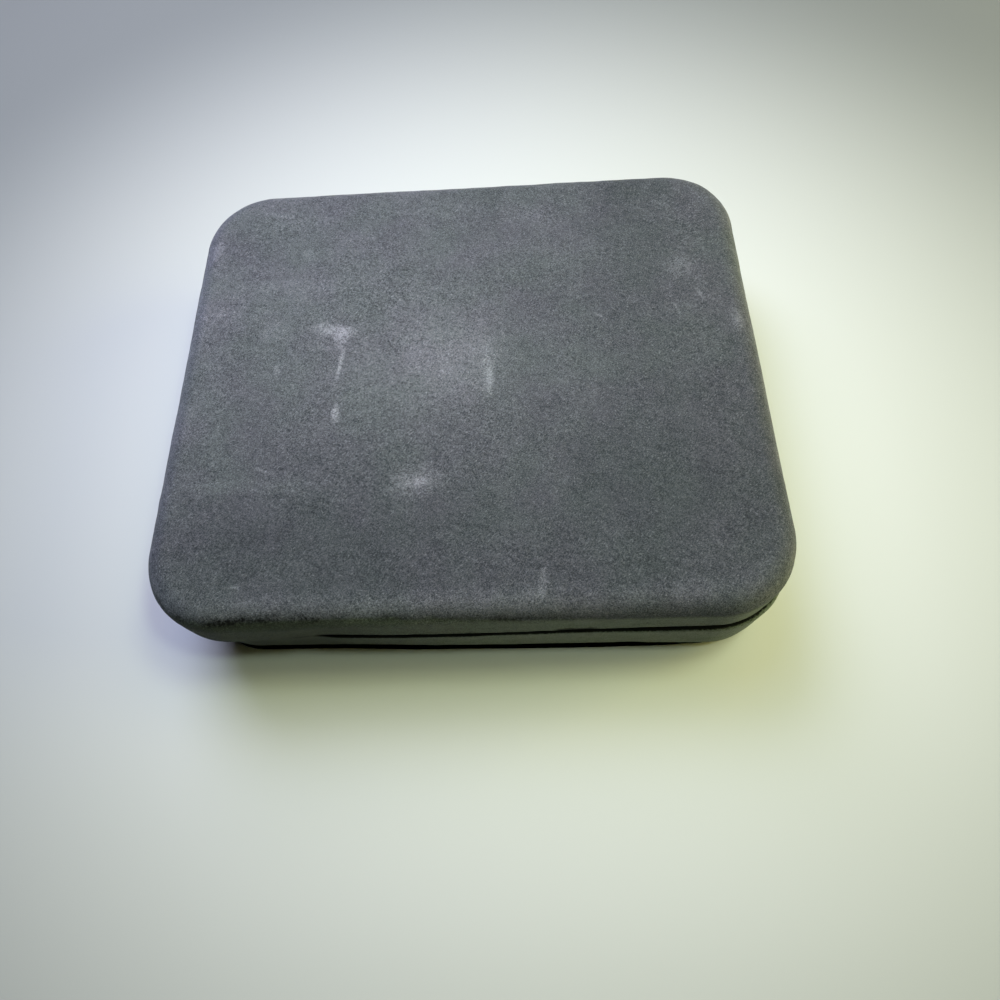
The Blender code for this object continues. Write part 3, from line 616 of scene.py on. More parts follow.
wallEndRow = cloth["edgeRows"] + cloth["wallRows"]
paintedShadeEnd = wallEndRow + cloth["rimRows"]             # the row half way over the rim, where the seam's painted shade ends
outerRows = paintedShadeEnd + 1 + cloth["innerRimRows"]     # how many rows show from outside


# How far each row lies in the seam's painted shade: a ramp over 2.5 rows of the rim's first small turn, then
# 1 as far as half way over the rim. litRows puts the ramp off by that many rows.
def seamPaintedShade(rows, firstRow, litRows=0.0):
    row = np.arange(rows)[:, None] - firstRow
    start = wallEndRow + 1 + litRows
    return ramp(row, start, start + 2.5) * (row <= paintedShadeEnd) * ones


# Broad lighter and darker places on the lid: partly the lay of the pile, partly painted sheen, lighter
# towards the far left, and painted shade, darker towards the front. Middle and reach in mm, and amount
lidLayAndPaintedLight = [
    (-42, 22, 55, 34, 0.14),
    (-66, 72, 36, 14, 0.09),
    (-92, 45, 9, 30, 0.10),
    (-5, 0, 23, 25, 0.165),
    (18, 2, 9, 26, -0.05),
    (60, 72, 16, 13, -0.09),
    (-95, -20, 10, 60, 0.08),
    (0, -72, 130, 36, -0.155),
    (-62, -60, 34, 18, -0.08),
    (58, -40, 28, 24, -0.06),
    (92, -10, 45, 90, -0.10),
]


# Lighter or darker pile: the broad places as bell curves, partly lay and partly painted sheen and shade, a
# painted light band just inside the front edge, painted sheen on the top's edge, and the walls' painted
# light and shade under the fold. The band and the sheen are bell curves of the inset, and both are broken up
# by noise.
def lidTone(grid):
    x, y, z = np.moveaxis(grid, -1, 0)
    inset, overFold = insetOf(x, y), z - byBearing("foldHeight") * mm
    # painted light and shade on the walls under the fold, by bearing
    tone = ramp(overFold, 0, cloth["wallUnderFold"]) * byBearing("paintedWallShading")
    for atX, atY, reachX, reachY, amount in lidLayAndPaintedLight:
        tone = tone + amount * bell(x, atX * mm, reachX * mm) * bell(y, atY * mm, reachY * mm)
    # painted light: a lighter band just inside the front edge
    band = bell(inset, cloth["paintedLightBandInset"], cloth["paintedLightBandReach"]) * ramp(-y / halfDepth, *cloth["paintedLightBandAtFront"])
    band = band * byBearing("paintedLightBandTone") * ramp(overFold, *cloth["paintedLightBandOverFold"])
    band = band * (1 + cloth["spotAmount"] * softNoise(grid, cloth["paintedLightBandSpots"], 41))
    # painted sheen: the pile on the top's edge made lighter
    edge = bell(inset, byBearing("paintedSheenInset") * mm, cloth["paintedSheenReach"]) * byBearing("paintedSheenTone")
    edge = edge * (1 + cloth["spotAmount"] * softNoise(grid, cloth["paintedSheenSpots"], 43))
    edge = edge * ramp(overFold, *cloth["paintedSheenOverFold"])
    return tone + cloth["paintedLightBandAmount"] * band + edge


# Painted shade, nearly black: in patches along the fold, by a bell curve of the height from it, and just over
# the seam, by a ramp of the height over the lid's lower edge
def lidPaintedShade(grid, lowEdge):
    x, y, z = np.moveaxis(grid, -1, 0)
    largeAmount, smallAmount = cloth["blotchAmounts"]
    blotch = largeAmount * softNoise(grid * cloth["blotchSquash"], cloth["blotch"], 41)
    blotch = blotch + smallAmount * softNoise(grid, cloth["smallBlotch"], 42)
    fold = bell(z - byBearing("foldHeight") * mm, cloth["foldAbove"], cloth["foldReach"])
    fold = fold * (insetOf(x, y) < cloth["foldInset"]) * byBearing("foldPaintedShade")
    plain, broken = cloth["foldBroken"]
    fold = cloth["foldMost"] * fold * np.clip(plain + broken * blotch, 0, 1)
    over = z - lowEdge
    plain, broken = cloth["seamBroken"]
    seam = np.clip(plain - over / cloth["overSeam"] + broken * blotch, 0, 1) * (over < cloth["overSeamMost"])
    return np.clip(fold + seam * byBearing("overSeamPaintedShade"), 0, 1)


# 0 on the flat top and 1 down the sides, where the sides' painted shade lies, by a smoothstep of the height
# that wide, with a ragged line
def paintedShadeShare(grid, foldHeight, width, seed):
    under = foldHeight - grid[..., 2] + lumps(grid, cloth["wander"], seed)
    return smooth(ramp(under, -width / 2, width / 2))


# How far a wall stands out at a height: the lid's by its table, growing from its still top down to its edge,
# and the base's by its foot's table at the bottom and its rim's at the top. Deeper layers move less, by
# 1 - inset / reach, and the reach ends short of the lining, or under the foot short of the felt.
def standOut(up, height, inset):
    if up > 0:
        grown = ramp(height, lidHigh.z - cloth["stillTop"], lidLow.z + cloth["fullOver"])
        amount, reach = grown * byBearing("lidOut"), cloth["liningReach"]
    else:
        rise = ramp(height, cloth["footHeight"], baseHigh.z)
        amount = byBearing("footOut") * (1 - rise) + byBearing("rimOut") * rise
        reaches = [cloth["turnedUnder"], cloth["riserReach"], cloth["liningReach"]]
        reach = np.interp(height, cloth["reachHeights"], reaches)
    return amount * mm * ramp(inset, reach, 0)


# The grid with every point moved along the outward direction by standOut at its height and inset
def stoodOut(up, grid):
    amount = standOut(up, grid[..., 2], insetOf(grid[..., 0], grid[..., 1]))
    moved = grid.copy()
    moved[..., :2] += amount[..., None] * outward
    return moved


# Rings shrinking to the lid's middle, the wrap down the wall and into the lid, and rings back to the middle
# inside. The crown is 1 - share^6 of its height, and the lower edge moves out by its table.
def lidCloth():
    lowEdge = seamHeight + byBearing("seamHalf") * mm + cloth["gapRise"] * inGap
    wrap = stoodOut(1, parallelRings(wrapProfile(lowEdge, 1, cloth["topRadius"], lidHigh.z)))
    shares = np.concatenate([steps(0.012, 0.90, 62), steps(0.90, 1, 13)])
    top = shrunkRings(wrap[0], shares)
    top[..., 2] += (cloth["crown"] * (1 - shares ** 6))[:, None]
    outer = np.concatenate([top, wrap[:outerRows]])
    flat = ramp(outer[..., 2], lidHigh.z - cloth["calmDepth"], lidHigh.z)
    height = lumps(outer, cloth["lumps"], 11) * (1 - cloth["calmTop"] * flat)
    outer += gridNormals(outer) * height[..., None]
    inner = shrunkRings(wrap[-1], np.array([0.9, 0.6, 0.3, 0.05]))
    grid = np.concatenate([outer, wrap[outerRows:], inner])
    return gridPiece("lidVelvet", grid, layers={
        "tone": lidTone(grid),
        # painted shade down the lid's sides
        "side": paintedShadeShare(grid, byBearing("foldHeight") * mm, cloth["paintedShadeFade"], 81),
        # painted shade in the seam and along the fold
        "paintedShade": np.maximum(seamPaintedShade(len(grid), len(top)), lidPaintedShade(grid, lowEdge)),
    })


# A ring: turned under the base, round its foot, up the wall, over the rim and down inside, then back
def baseCloth():
    highEdge = seamHeight - byBearing("seamHalf") * mm - cloth["gapRise"] * inGap
    wrap = stoodOut(-1, parallelRings(wrapProfile(highEdge, -1, cloth["footRadius"], baseLow.z)))
    under = steps(cloth["turnedUnder"], cloth["footRadius"], 4)
    first = stoodOut(-1, parallelRings([(inset, baseLow.z) for inset in under]))
    last = stoodOut(-1, parallelRings([(inset, baseLow.z + cloth["thickness"]) for inset in under[::-1]]))
    outer = wrap[:outerRows]
    outer += gridNormals(outer) * lumps(outer, cloth["lumps"], 61)[..., None]
    grid = np.concatenate([first, outer, wrap[outerRows:], last])
    times, plus = cloth["basePaintedShading"]
    spots = cloth["baseSpotAmount"] * softNoise(grid, cloth["baseSpots"], 71)
    # the walls' painted light and shade, and random spots
    tone = byBearing("paintedWallShading") * times + plus + spots
    # painted shade in the seam's rim
    paintedShade = seamPaintedShade(len(grid), len(first), byBearing("seamLit"))
    layers = {"tone": tone, "side": 0 * tone + 1, "paintedShade": paintedShade}
    return gridPiece("baseVelvet", grid, wrapRows=True, layers=layers)


# A thin black sheet under the foot that paints the contact shadow: a flat ring whose outer edge keeps near
# the foot's widest line
def paintedShadowSoleRing():
    edge = byBearing("paintedShadowSoleIn") * mm
    inner, top, bevel = cloth["paintedShadowSoleInner"], cloth["paintedShadowSoleTop"], cloth["paintedShadowSoleBevel"]
    rows = [(inner, 0.5 * bevel), (edge + bevel, 0.5 * bevel), (edge, 1.5 * bevel),
            (edge, top - bevel), (edge + bevel, top), (inner, top)]
    grid = parallelRings(rows)
    grid[1:-1, :, :2] += (byBearing("footOut") * mm)[:, None] * outward
    return gridPiece("paintedShadowSole", grid, wrapRows=True)


# Moulded shells under the cloth
shell = {
    "inset": 1.3 * mm,
    "wall": 2.0 * mm,
    "edge": 0.5 * mm,
    "gapRise": 1.1 * cloth["gapRise"],
    "baseFloor": 2.1 * mm,      # heights of the closed and the open side of each half
    "baseOpen": 25.2 * mm,
    "lidTop": 43.7 * mm,
    "lidOpen": 28.5 * mm,
}


# A pan: rings out from the middle, a quarter turn, the wall, a rounded lip, and the same way back one wall
# further in. It is lower where the hinge crosses it.
def mouldedShell(name, up, closedHeight, openHeight, radius):
    inset, wall, edge = shell["inset"], shell["wall"], shell["edge"]
    outer, inner = radius - inset, radius - inset - wall
    lip = openHeight + up * shell["gapRise"] * inGap
    centre = closedHeight - up * outer
    rise = lip + up * edge - centre
    rows = quarterTurn(radius, centre, -outer, up * outer, 9)[::-1]
    rows += [(inset, centre + rise * share) for share in (0.33, 0.67, 1.0)]
    rows += [(inset + edge, lip), (inset + wall - edge, lip), (inset + wall, lip + up * edge)]
    rows += [(inset + wall, centre + rise * share) for share in (0.67, 0.33)]
    rows += quarterTurn(radius, centre, -inner, up * inner, 9)
    grid = stoodOut(up, parallelRings(rows))
    shares = np.array([0.02, 0.3, 0.6, 0.9])
    grid = np.concatenate([shrunkRings(grid[0], shares), grid, shrunkRings(grid[-1], shares[::-1])])
    return gridPiece(name, grid)


# Plain finishes. Each of the grains is a weight and its noise, from fibres, stipple or streaks to dust and
# stains. The first gives the relief, and the last the roughness where that varies: by how much, from what.
# near-black paper for the sheet under the foot that paints the contact shadow
paintedShadowBlack = {
    "sockets": {"Roughness": 1.0, "Specular IOR Level": 0.0},
    "dark": (0.0008, 0.0008, 0.0008, 1),
    "light": (0.0030, 0.0030, 0.0028, 1),
    "grains": [(1.0, {"size": 0.6 * mm, "detail": 3.0, "roughness": 0.7})],
    "relief": (0.2, 0.05 * mm),
}
mouldedBlack = {
    "sockets": {"Roughness": 0.5, "Specular IOR Level": 0.45},
    "dark": (0.022, 0.022, 0.024, 1),
    "light": (0.060, 0.058, 0.055, 1),
    "grains": [(0.0, {"size": 0.5 * mm}), (0.5, {"size": 14 * mm, "detail": 3.0, "roughness": 0.65})],
    "relief": (0.3, 0.05 * mm),
    "roughness": (0.35, 0.34),
}
pressedFelt = {
    "sockets": {"Roughness": 1.0, "Sheen Weight": 0.2, "Specular IOR Level": 0.05},
    "dark": (0.010, 0.010, 0.011, 1),
    "light": (0.042, 0.042, 0.045, 1),
    "grains": [(0.5, {"size": 0.45 * mm, "detail": 4.0, "roughness": 0.7, "turn": (0, 0, 0.6),
                      "stretch": (2.5, 1, 1)}),
               (0.5, {"size": 3 * mm})],
    "relief": (0.7, 0.25 * mm),
}
greyCard = {
    "sockets": {"Roughness": 0.9, "Specular IOR Level": 0.15},
    "dark": (0.20, 0.19, 0.175, 1),
    "light": (0.42, 0.41, 0.385, 1),
    "grains": [(0.6, {"size": 0.9 * mm, "detail": 4.0, "roughness": 0.7}),
               (0.4, {"size": 2.2 * mm, "roughness": 0.8})],
    "relief": (0.4, 0.08 * mm),
}
platedSteel = {
    "sockets": {"Metallic": 1.0, "Roughness": 0.30},
    "dark": (0.42, 0.40, 0.37, 1),
    "light": (0.72, 0.70, 0.66, 1),
    "grains": [(0.5, {"size": 0.12 * mm, "roughness": 0.6, "stretch": (14, 1, 1)}),
               (0.5, {"size": 5 * mm, "detail": 3.0, "roughness": 0.6})],
    "relief": (0.2, 0.03 * mm),
    "roughness": (0.22, 0.22),
}
springSteel = dict(
    platedSteel,
    sockets={"Metallic": 1.0, "Roughness": 0.32},
    dark=(0.30, 0.31, 0.33, 1),
    light=(0.60, 0.61, 0.63, 1),
    roughness=(0.22, 0.24),
)
silverSatin = {
    "sockets": {"Roughness": 0.36, "Sheen Weight": 0.12, "Specular IOR Level": 0.55, "Anisotropic": 0.45},
    "dark": (0.44, 0.45, 0.47, 1),
    "light": (0.74, 0.75, 0.77, 1),
    "grains": [(0.35, {"size": 0.16 * mm, "roughness": 0.6, "stretch": (24, 1, 1)}),
               (0.25, {"size": 22 * mm}),
               (0.40, {"size": 1.1 * mm, "roughness": 0.6, "stretch": (18, 1, 1)})],
    "relief": (0.25, 0.04 * mm),
    "roughness": (0.16, 0.28),
}
greyElastic = {
    "sockets": {"Roughness": 0.85, "Sheen Weight": 0.15},
    "dark": (0.075, 0.080, 0.085, 1),
    "light": (0.24, 0.25, 0.26, 1),
    "grains": [(1.0, {"size": 0.22 * mm, "roughness": 0.6, "turn": (0, 0.7, 0), "stretch": (4, 1, 1)})],
    "relief": (0.6, 0.12 * mm),
}
liningVelvet = dict(
    outerVelvet,
    dark=(0.075, 0.083, 0.090, 1),
    light=(0.215, 0.235, 0.250, 1),
    paintedShadeSideDark=(0.060, 0.066, 0.072, 1),
    paintedShadeSideLight=(0.180, 0.195, 0.208, 1),
    napTurn=(0, 0, math.radians(72)),
    fibreContrast=1.5,
    middle=0.5,
)


# The share of the light colour is the sum of weight x noise
def plainMaterial(name, look):
    mat, shader, coords = newMaterial(name, look["sockets"])
    share, noises = 0.0, []
    for weight, settings in look["grains"]:
        noises.append(grain(mat, coords, **settings))
        share = calc(mat, "MULTIPLY_ADD", noises[-1], weight, share)
    colour = mixColour(mat, share, look["dark"], look["light"])
    roughness = None
    if "roughness" in look:
        roughness = calc(mat, "MULTIPLY_ADD", noises[-1], *look["roughness"])
    return finishWith(mat, shader, colour, noises[0], look["relief"], roughness)


felt = {
    "inset": 10.3 * mm,
    "thickness": 1.75 * mm,
    "edge": 0.35 * mm,
    "waver": ((9 * mm, 0.18 * mm),),
}


# A flat panel: rings out from the middle, a rounded cut edge that wavers a little, and rings back
def footPanel():
    edge, top = felt["edge"], felt["thickness"]
    inset = felt["inset"] + lumps(np.column_stack([rim, 0 * ones]), felt["waver"], 5)
    rows = [(inset + edge, 0.0), (inset + 0.25 * edge, 0.3 * edge), (inset, edge), (inset, top - edge),
            (inset + 0.25 * edge, top - 0.3 * edge), (inset + edge, top)]
    sides = parallelRings(rows)
    shares = np.array([0.02, 0.25, 0.5, 0.75, 0.97])
    grid = np.concatenate([shrunkRings(sides[0], shares), sides, shrunkRings(sides[-1], shares[::-1])])
    return gridPiece("bottomFelt", grid)


wallLiner = {
    "inset": 4.9 * mm,
    "thickness": 1.4 * mm,
    "edge": 0.6 * mm,
    "fromSeam": 1.75 * mm,       # from the seam's middle to the open edge, and to it in the hinge's gap
    "leafReach": 11.2 * mm,
    "baseFoot": 8.5 * mm,
    "lidTop": 40.3 * mm,
    "lumps": ((6 * mm, 0.12 * mm),),
}


# A velvet band round the inside of the wall: a rounded rectangle section, its open edge moved away from the
# seam where the hinge's leaves stand
def linerBand(name, up, far):
    inset, thick, edge = wallLiner["inset"], wallLiner["thickness"], wallLiner["edge"]
    reach = wallLiner["fromSeam"] + (wallLiner["leafReach"] - wallLiner["fromSeam"]) * inGap
    near = seamHeight + up * reach
    rows = [(inset, far), (inset, near + up * 3 * edge)]
    rows += quarterTurn(inset + edge, near + up * edge, -edge, -up * edge, 5)
    rows += quarterTurn(inset + thick - edge, near + up * edge, edge, -up * edge, 5)[::-1]
    rows += [(inset + thick, near + up * 3 * edge), (inset + thick, far)]
    grid = parallelRings(rows)
    grid[2:-2, :, 2] += lumps(grid[2:-2], wallLiner["lumps"], 91)
    flat = np.zeros(grid.shape[:2])
    # the whole band takes the shaded copy of the lining's colours, as painted shade
    return gridPiece(name, grid, wrapRows=True, layers={"tone": flat, "side": flat + 1})


displayPad = {
    "inset": 6.6 * mm,
    "edge": 2.2 * mm,
    "crown": 1.2 * mm,
    "crownReach": 14.7 * mm,
    "slotHalf": (24.0 * mm, 8.1 * mm),
    "slotAt": (0.0, -43.0 * mm),
    "slotEdge": 1.1 * mm,
    "slotPower": 10,          # 2 would make the slot an oval, and more makes it squarer
    "slotLean": 0.55,
    "pullIn": 0.35 * mm,      # how far the sides draw in between the corners
    "ripples": ((26 * mm, 0.16 * mm), (9 * mm, 0.05 * mm)),
    "sunk": 0.15 * mm,
    "paintedShadeDrop": 1.2 * mm,     # how far under the edge the side's painted shade starts, and over what height
    "paintedShadeFade": 1.6 * mm,
    "spots": 12 * mm,         # lighter and darker spots of its pile, and by how much
    "spotAmount": 0.05,
    "footIn": 0.5 * mm,       # the small slope at the foot of its side
    "footUp": 0.6 * mm,
}


# The ring slot's outline: for each station, the direction from the slot's middle to the pad's edge meets
# (|x| / half width)^power + (|y| / half depth)^power = 1. The directions lean to the slot's two ends.
def slotOutline(ring):
    power = displayPad["slotPower"]
    away = ring[:, :2] - displayPad["slotAt"]
    angle = np.arctan2(away[:, 1] * displayPad["slotLean"], away[:, 0])
    direction = np.stack([np.cos(angle), np.sin(angle)], 1)
    return direction, np.sum(np.abs(direction / displayPad["slotHalf"]) ** power, axis=1) ** (-1 / power)


# The pad's top at a point: its edge height, a quarter turn at the edge, and a crown that rises as the sine
# of its way in. up is -1 for the lid's lining, which hangs the other way up.
def padTop(x, y, edgeTop, info, up=1):
    edge = info["edge"]
    inside = np.maximum(insetOf(x, y) - info["inset"], 0)
    drop = edge - np.sqrt(np.maximum(edge ** 2 - np.maximum(edge - inside, 0) ** 2, 0))
    rise = info["crown"] * np.sin(ramp(inside, edge * 0.6, edge * 0.6 + info["crownReach"]) * math.pi / 2)
    return edgeTop + up * (rise - drop)


# A ring of rows: from the slot's lip out over the top to the edge, down the side, in under the pad to the
# slot, and up the slot's wall. A row on the top is a blend of the slot's outline and the pad's. The pad's
# straight sides draw in by 1 - along^2 between the corners.
def padPiece():
    info = displayPad
    low, edgeTop, lip = padLow.z, padHigh.z - info["crown"], info["slotEdge"]
    alongX, alongY = (np.abs(core) / (halfWidth - case["corner"], halfDepth - case["corner"])).T
    facingX, facingY = np.abs(outward).T
    along = np.where(facingY > facingX, alongX, alongY)
    pull = info["pullIn"] * (1 - along ** 2) * (np.minimum(facingX, facingY) < 0.01)
    edge = parallelRings([(info["inset"], 0.0)])[0, :, :2] - pull[:, None] * outward
    direction, reach = slotOutline(edge)
    slot = info["slotAt"] + direction * reach[:, None]
    rows = []
    for offset, drop in quarterTurn(lip, -lip, -lip, lip, 5):
        ring = info["slotAt"] + direction * (reach + offset)[:, None]
        rows.append(np.column_stack([ring, padTop(ring[:, 0], ring[:, 1], edgeTop, info) + drop]))
    start, lipRows = ring, len(rows)
    shares = 1 - (1 - np.linspace(0.02, 1, 60)) ** 1.35
    for share in shares:
        ring = start * (1 - share) + edge * share
        rows.append(np.column_stack([ring, padTop(ring[:, 0], ring[:, 1], edgeTop, info)]))
    halfWay = low + 0.45 * (edgeTop - low)
    for inset, height in ((0.0, halfWay), (0.0, low + info["footUp"]), (info["footIn"], low)):
        ring = edge - inset * outward
        rows.append(np.column_stack([ring, height * ones]))
    for share in (0.5, 1.0):
        ring = ring * (1 - share) + slot * share
        rows.append(np.column_stack([ring, low * ones]))
    grid = np.array(rows)
    top = slice(lipRows, lipRows + len(shares) - 3)
    grid[top, :, 2] += lumps(grid[top], info["ripples"], 21) - info["sunk"]
    # the pad's sides take the shaded copy of its colours, as painted shade
    side = paintedShadeShare(grid, edgeTop - info["paintedShadeDrop"], info["paintedShadeFade"], 83)
    tone = info["spotAmount"] * softNoise(grid, info["spots"], 23)
    return gridPiece("displayPad", grid, wrapRows=True, layers={"tone": tone, "side": side})


ringRoll = {
    "radius": 3.40 * mm,
    "halfLength": 23.7 * mm,
    "apart": 4.2 * mm,
    "height": 20.5 * mm,
    "end": 1.5 * mm,
    "around": 48,
    "tipRadius": 0.35,           # shares of the radius: at the tips, and how much slimmer the ends are
    "slimmer": 0.025,
    "lumps": ((6 * mm, 0.05 * mm),),
    "worn": 0.03 * mm,
}


# A soft roll: circles along X whose radius closes by a quarter ellipse at each end, a little fuller in the
# middle than at the ends, with noise along the radius
def rollPiece(name, side):
    info = ringRoll
    straight, closing = info["halfLength"] - info["end"], info["end"] * np.sin(quarter(7))
    middle = np.linspace(-1, 1, 44)[1:-1] * straight
    along = np.concatenate([-straight - closing[::-1], middle, straight + closing])
    tip = ramp(np.abs(along), straight, info["halfLength"])
    fullness = 1 - info["slimmer"] * (1 - np.cos(along / info["halfLength"] * math.pi / 2))
    closed = info["tipRadius"] + (1 - info["tipRadius"]) * np.sqrt(1 - tip ** 2)
    radius = info["radius"] * closed * fullness
    turn = steps(0, 2 * math.pi, info["around"])
    flat = 0 * along
    atY = displayPad["slotAt"][1] + side * info["apart"]
    centre = np.stack([along, flat + atY, flat + info["height"]], 1)[:, None]
    spokes = radius[:, None, None] * np.stack([0 * turn, np.cos(turn), np.sin(turn)], 1)
    height = lumps(centre + spokes, info["lumps"], 31 + side) - info["worn"]
    grid = centre + spokes * (1 + height[..., None] / info["radius"])
    # the rolls take the shaded copy of the colours three tenths of the way, as painted shade
    layers = {"tone": np.full(grid.shape[:2], 0.03), "side": np.full(grid.shape[:2], 0.3)}
    return gridPiece(name, grid, layers=layers)


earringCard = {
    "half": (11.0 * mm, 7.5 * mm),
    "corner": 2.5 * mm,
    "apart": 29.0 * mm,
    "fromMiddle": 13.0 * mm,
    "bottom": 23.4 * mm,
    "thickness": 1.1 * mm,
    "hole": 0.9 * mm,
    "holeApart": 4.5 * mm,
    "holeEdge": 0.15 * mm,
    "edge": 0.28 * mm,
    "sharp": math.radians(50),      # an edge that bends more than this isn't shaded smooth
    "tone": 0.10,
}


# Half a card is a ring round its hole: from the hole's edge out to the half's outline, over the edge, down,
# back in under it and up the hole. Each outline point is where a ray from the hole meets the half's straight
# sides, with the outer corners drawn on to their arcs. The other half is its mirror image, welded to it.
def cardPiece(name, side):
    info = earringCard
    halfX, halfY = info["half"]
    hole, corner = info["holeApart"], info["corner"]
    near = 1e-9      # as good as nothing, in metres and as a share
    ends = ((-hole, -halfY), (halfX - hole, -halfY), (halfX - hole, halfY), (-hole, halfY))
    stops = [math.atan2(y, x) for x, y in ends]
    stops.append(stops[0] + 2 * math.pi)
    angle = np.concatenate([steps(a, b, 20) for a, b in zip(stops, stops[1:])])
    cos, sin = np.cos(angle), np.sin(angle)
    reachX = np.where(cos > 0, halfX - hole, hole) / np.maximum(np.abs(cos), near)
    reach = np.minimum(reachX, halfY / np.maximum(np.abs(sin), near))
    outline = np.stack([hole + reach * cos, reach * sin], 1)
    facing = np.sign(outline[:, 1])
    beyond = outline - np.stack([halfX - corner + 0 * facing, facing * (halfY - corner)], 1)
    inCorner = (beyond[:, 0] > 0) & (beyond[:, 1] * facing > 0)
    arc = outline - beyond + unit(beyond) * corner
    outline = np.where(inCorner[:, None], arc, outline)
    outer = (outline[:, 0] > near) | (np.abs(np.abs(outline[:, 1]) - halfY) < near)
    ringOf = np.stack([hole + info["hole"] * cos, info["hole"] * sin], 1)
    low, edge, holeEdge = info["bottom"], info["edge"], info["holeEdge"]
    high = low + info["thickness"]
    rows = []
    for share, height in ((0, high - holeEdge), (0.03, high), (0.3, high), (0.65, high), (0.96, high),
                          (1, high - edge), (1, low + edge), (0.96, low), (0.5, low), (0.03, low),
                          (0, low + holeEdge)):
        ring = ringOf * (1 - share) + outline * share
        flush = high if height > (low + high) / 2 else low      # where the halves meet, no edge is rounded
        rows.append(np.column_stack([ring, np.where(outer | (share < 1), height, flush)]))
    half = np.array(rows)
    bm = bmesh.new()
    for grid in (half, half * np.array([-1, 1, 1])):
        part = gridPiece(name + "Half", grid, wrapRows=True)
        bm.from_mesh(part.data)
        bpy.data.objects.remove(part)
    shared = [face for face in bm.faces if all(abs(vert.co.x) < 1e-7 for vert in face.verts)]
    bmesh.ops.delete(bm, geom=shared, context="FACES_ONLY")
    bmesh.ops.remove_doubles(bm, verts=bm.verts, dist=2e-6)
    bmesh.ops.translate(bm, verts=bm.verts, vec=(side * info["apart"], info["fromMiddle"], 0))
    mesh = bpy.data.meshes.new(name)
    bm.to_mesh(mesh)
    bm.free()
    mesh.shade_smooth()
    mesh.set_sharp_from_angle(angle=info["sharp"])
    for key, value in (("tone", info["tone"]), ("side", 0.0)):
        addLayer(mesh, key, np.full(len(mesh.vertices), value))
    return addObject(name, mesh)


chainLoop = {
    "apart": 52.0 * mm,
    "fromMiddle": 53.0 * mm,
    "base": 23.0 * mm,
    "halfSpan": 5.5 * mm,
    "rise": 3.7 * mm,
    "radius": 0.62 * mm,
    "strands": 5,
    "twist": 1.5 * mm,      # the way along in which a strand goes once round
    "swell": 0.10,
}


# A braided tube along an arch: across = half span x cos(t), height = base + rise x sin(t)^0.8, and a radius
# that swells where two sets of strands cross, one turning each way
def loopPiece(name, side):
    info = chainLoop
    t = np.linspace(math.pi, 0, 90)
    across = side * info["apart"] + info["halfSpan"] * np.cos(t)
    path = np.stack([across, info["fromMiddle"] + 0 * t, info["base"] + info["rise"] * np.sin(t) ** 0.8], 1)
    sideways = np.array([0.0, 1.0, 0.0])
    up = np.cross(unit(np.gradient(path, axis=0)), sideways)
    turn = steps(0, 2 * math.pi, 20)
    twist = wayAlong(path)[:, None] / info["twist"] * 2 * math.pi
    crossing = np.maximum(np.sin(info["strands"] * turn + twist), np.sin(info["strands"] * turn - twist))
    radius = info["radius"] * (1 + info["swell"] * crossing)
    spokes = np.cos(turn)[:, None] * sideways + np.sin(turn)[:, None] * up[:, None]
    return gridPiece(name, path[:, None] + radius[..., None] * spokes, poles=(path[0], path[-1]))


liningPad = {
    "inset": 6.6 * mm,
    "edge": 2.2 * mm,
    "crown": 1.25 * mm,
    "crownReach": 20.0 * mm,
    "edgeUp": 1.4 * mm,          # from the satin's lowest point up to its edge
    "gathers": 0.16 * mm,
    "gatherLength": 5.2 * mm,
    "gatherReach": 7 * mm,
    "gatherFrom": 1.5 * mm,
    "wander": 16 * mm,           # over what length the gathers shift along the edge, and by how much of a
    "wanderAmount": 1.4,         # wave, in radians
    "ripples": ((30 * mm, 0.18 * mm),),
    "turnedIn": 0.6 * mm,
    "backDrop": 0.5 * mm,
}


# A satin panel in the lid: rings out from the middle over a crown, a quarter turn at the edge, and flat
# against its board. Gathers are waves along the edge that die out inwards, as e^-(way in / reach).
def liningPiece():
    info = liningPad
    edgeLow, start = liningLow.z + info["edgeUp"], info["inset"]
    outline = parallelRings([(start, 0.0)])[0]
    travelled = wayAlong(outline)
    length = travelled[-1] + np.linalg.norm(outline[0] - outline[-1])
    wander = softNoise(np.column_stack([rim, 0 * ones]), info["wander"], 51) * info["wanderAmount"]
    wave = np.sin(travelled / length * 2 * math.pi * round(length / info["gatherLength"]) + wander)
    turned = np.append(start + info["edge"] * (1 - np.sin(quarter(8))), start)
    sides = parallelRings([(inset, 0.0) for inset in turned])
    sides[:-1, :, 2] = padTop(sides[:-1, :, 0], sides[:-1, :, 1], edgeLow, info, -1)
    sides[-1, :, 2] = liningHigh.z - info["backDrop"]
    back = parallelRings([(start + info["turnedIn"], liningHigh.z)])
    face = shrunkRings(sides[0], np.concatenate([steps(0.02, 0.86, 34), steps(0.86, 1, 14)]))
    face[..., 2] = padTop(face[..., 0], face[..., 1], edgeLow, info, -1)
    inside = insetOf(face[..., 0], face[..., 1]) - start
    strength = np.exp(-inside / info["gatherReach"]) * np.clip(inside / info["gatherFrom"], 0.25, 1)
    face[..., 2] += wave * info["gathers"] * strength + lumps(face, info["ripples"], 52)
    sides[:3, :, 2] += wave * info["gathers"] * 0.5
    inner = shrunkRings(back[0], np.array([0.8, 0.4, 0.05]))
    return gridPiece("liningPad", np.concatenate([face, sides, back, inner]))


snapSpring = {
    "apart": 15.0 * mm,
    "halfWidth": 5.0 * mm,
    "thickness": 0.45 * mm,
    "back": 78.25 * mm,
    "bow": 3.4 * mm,
    "halfBow": 5.0 * mm,
    "tail": 3.6 * mm,
    "blendAt": 78 * mm,
}


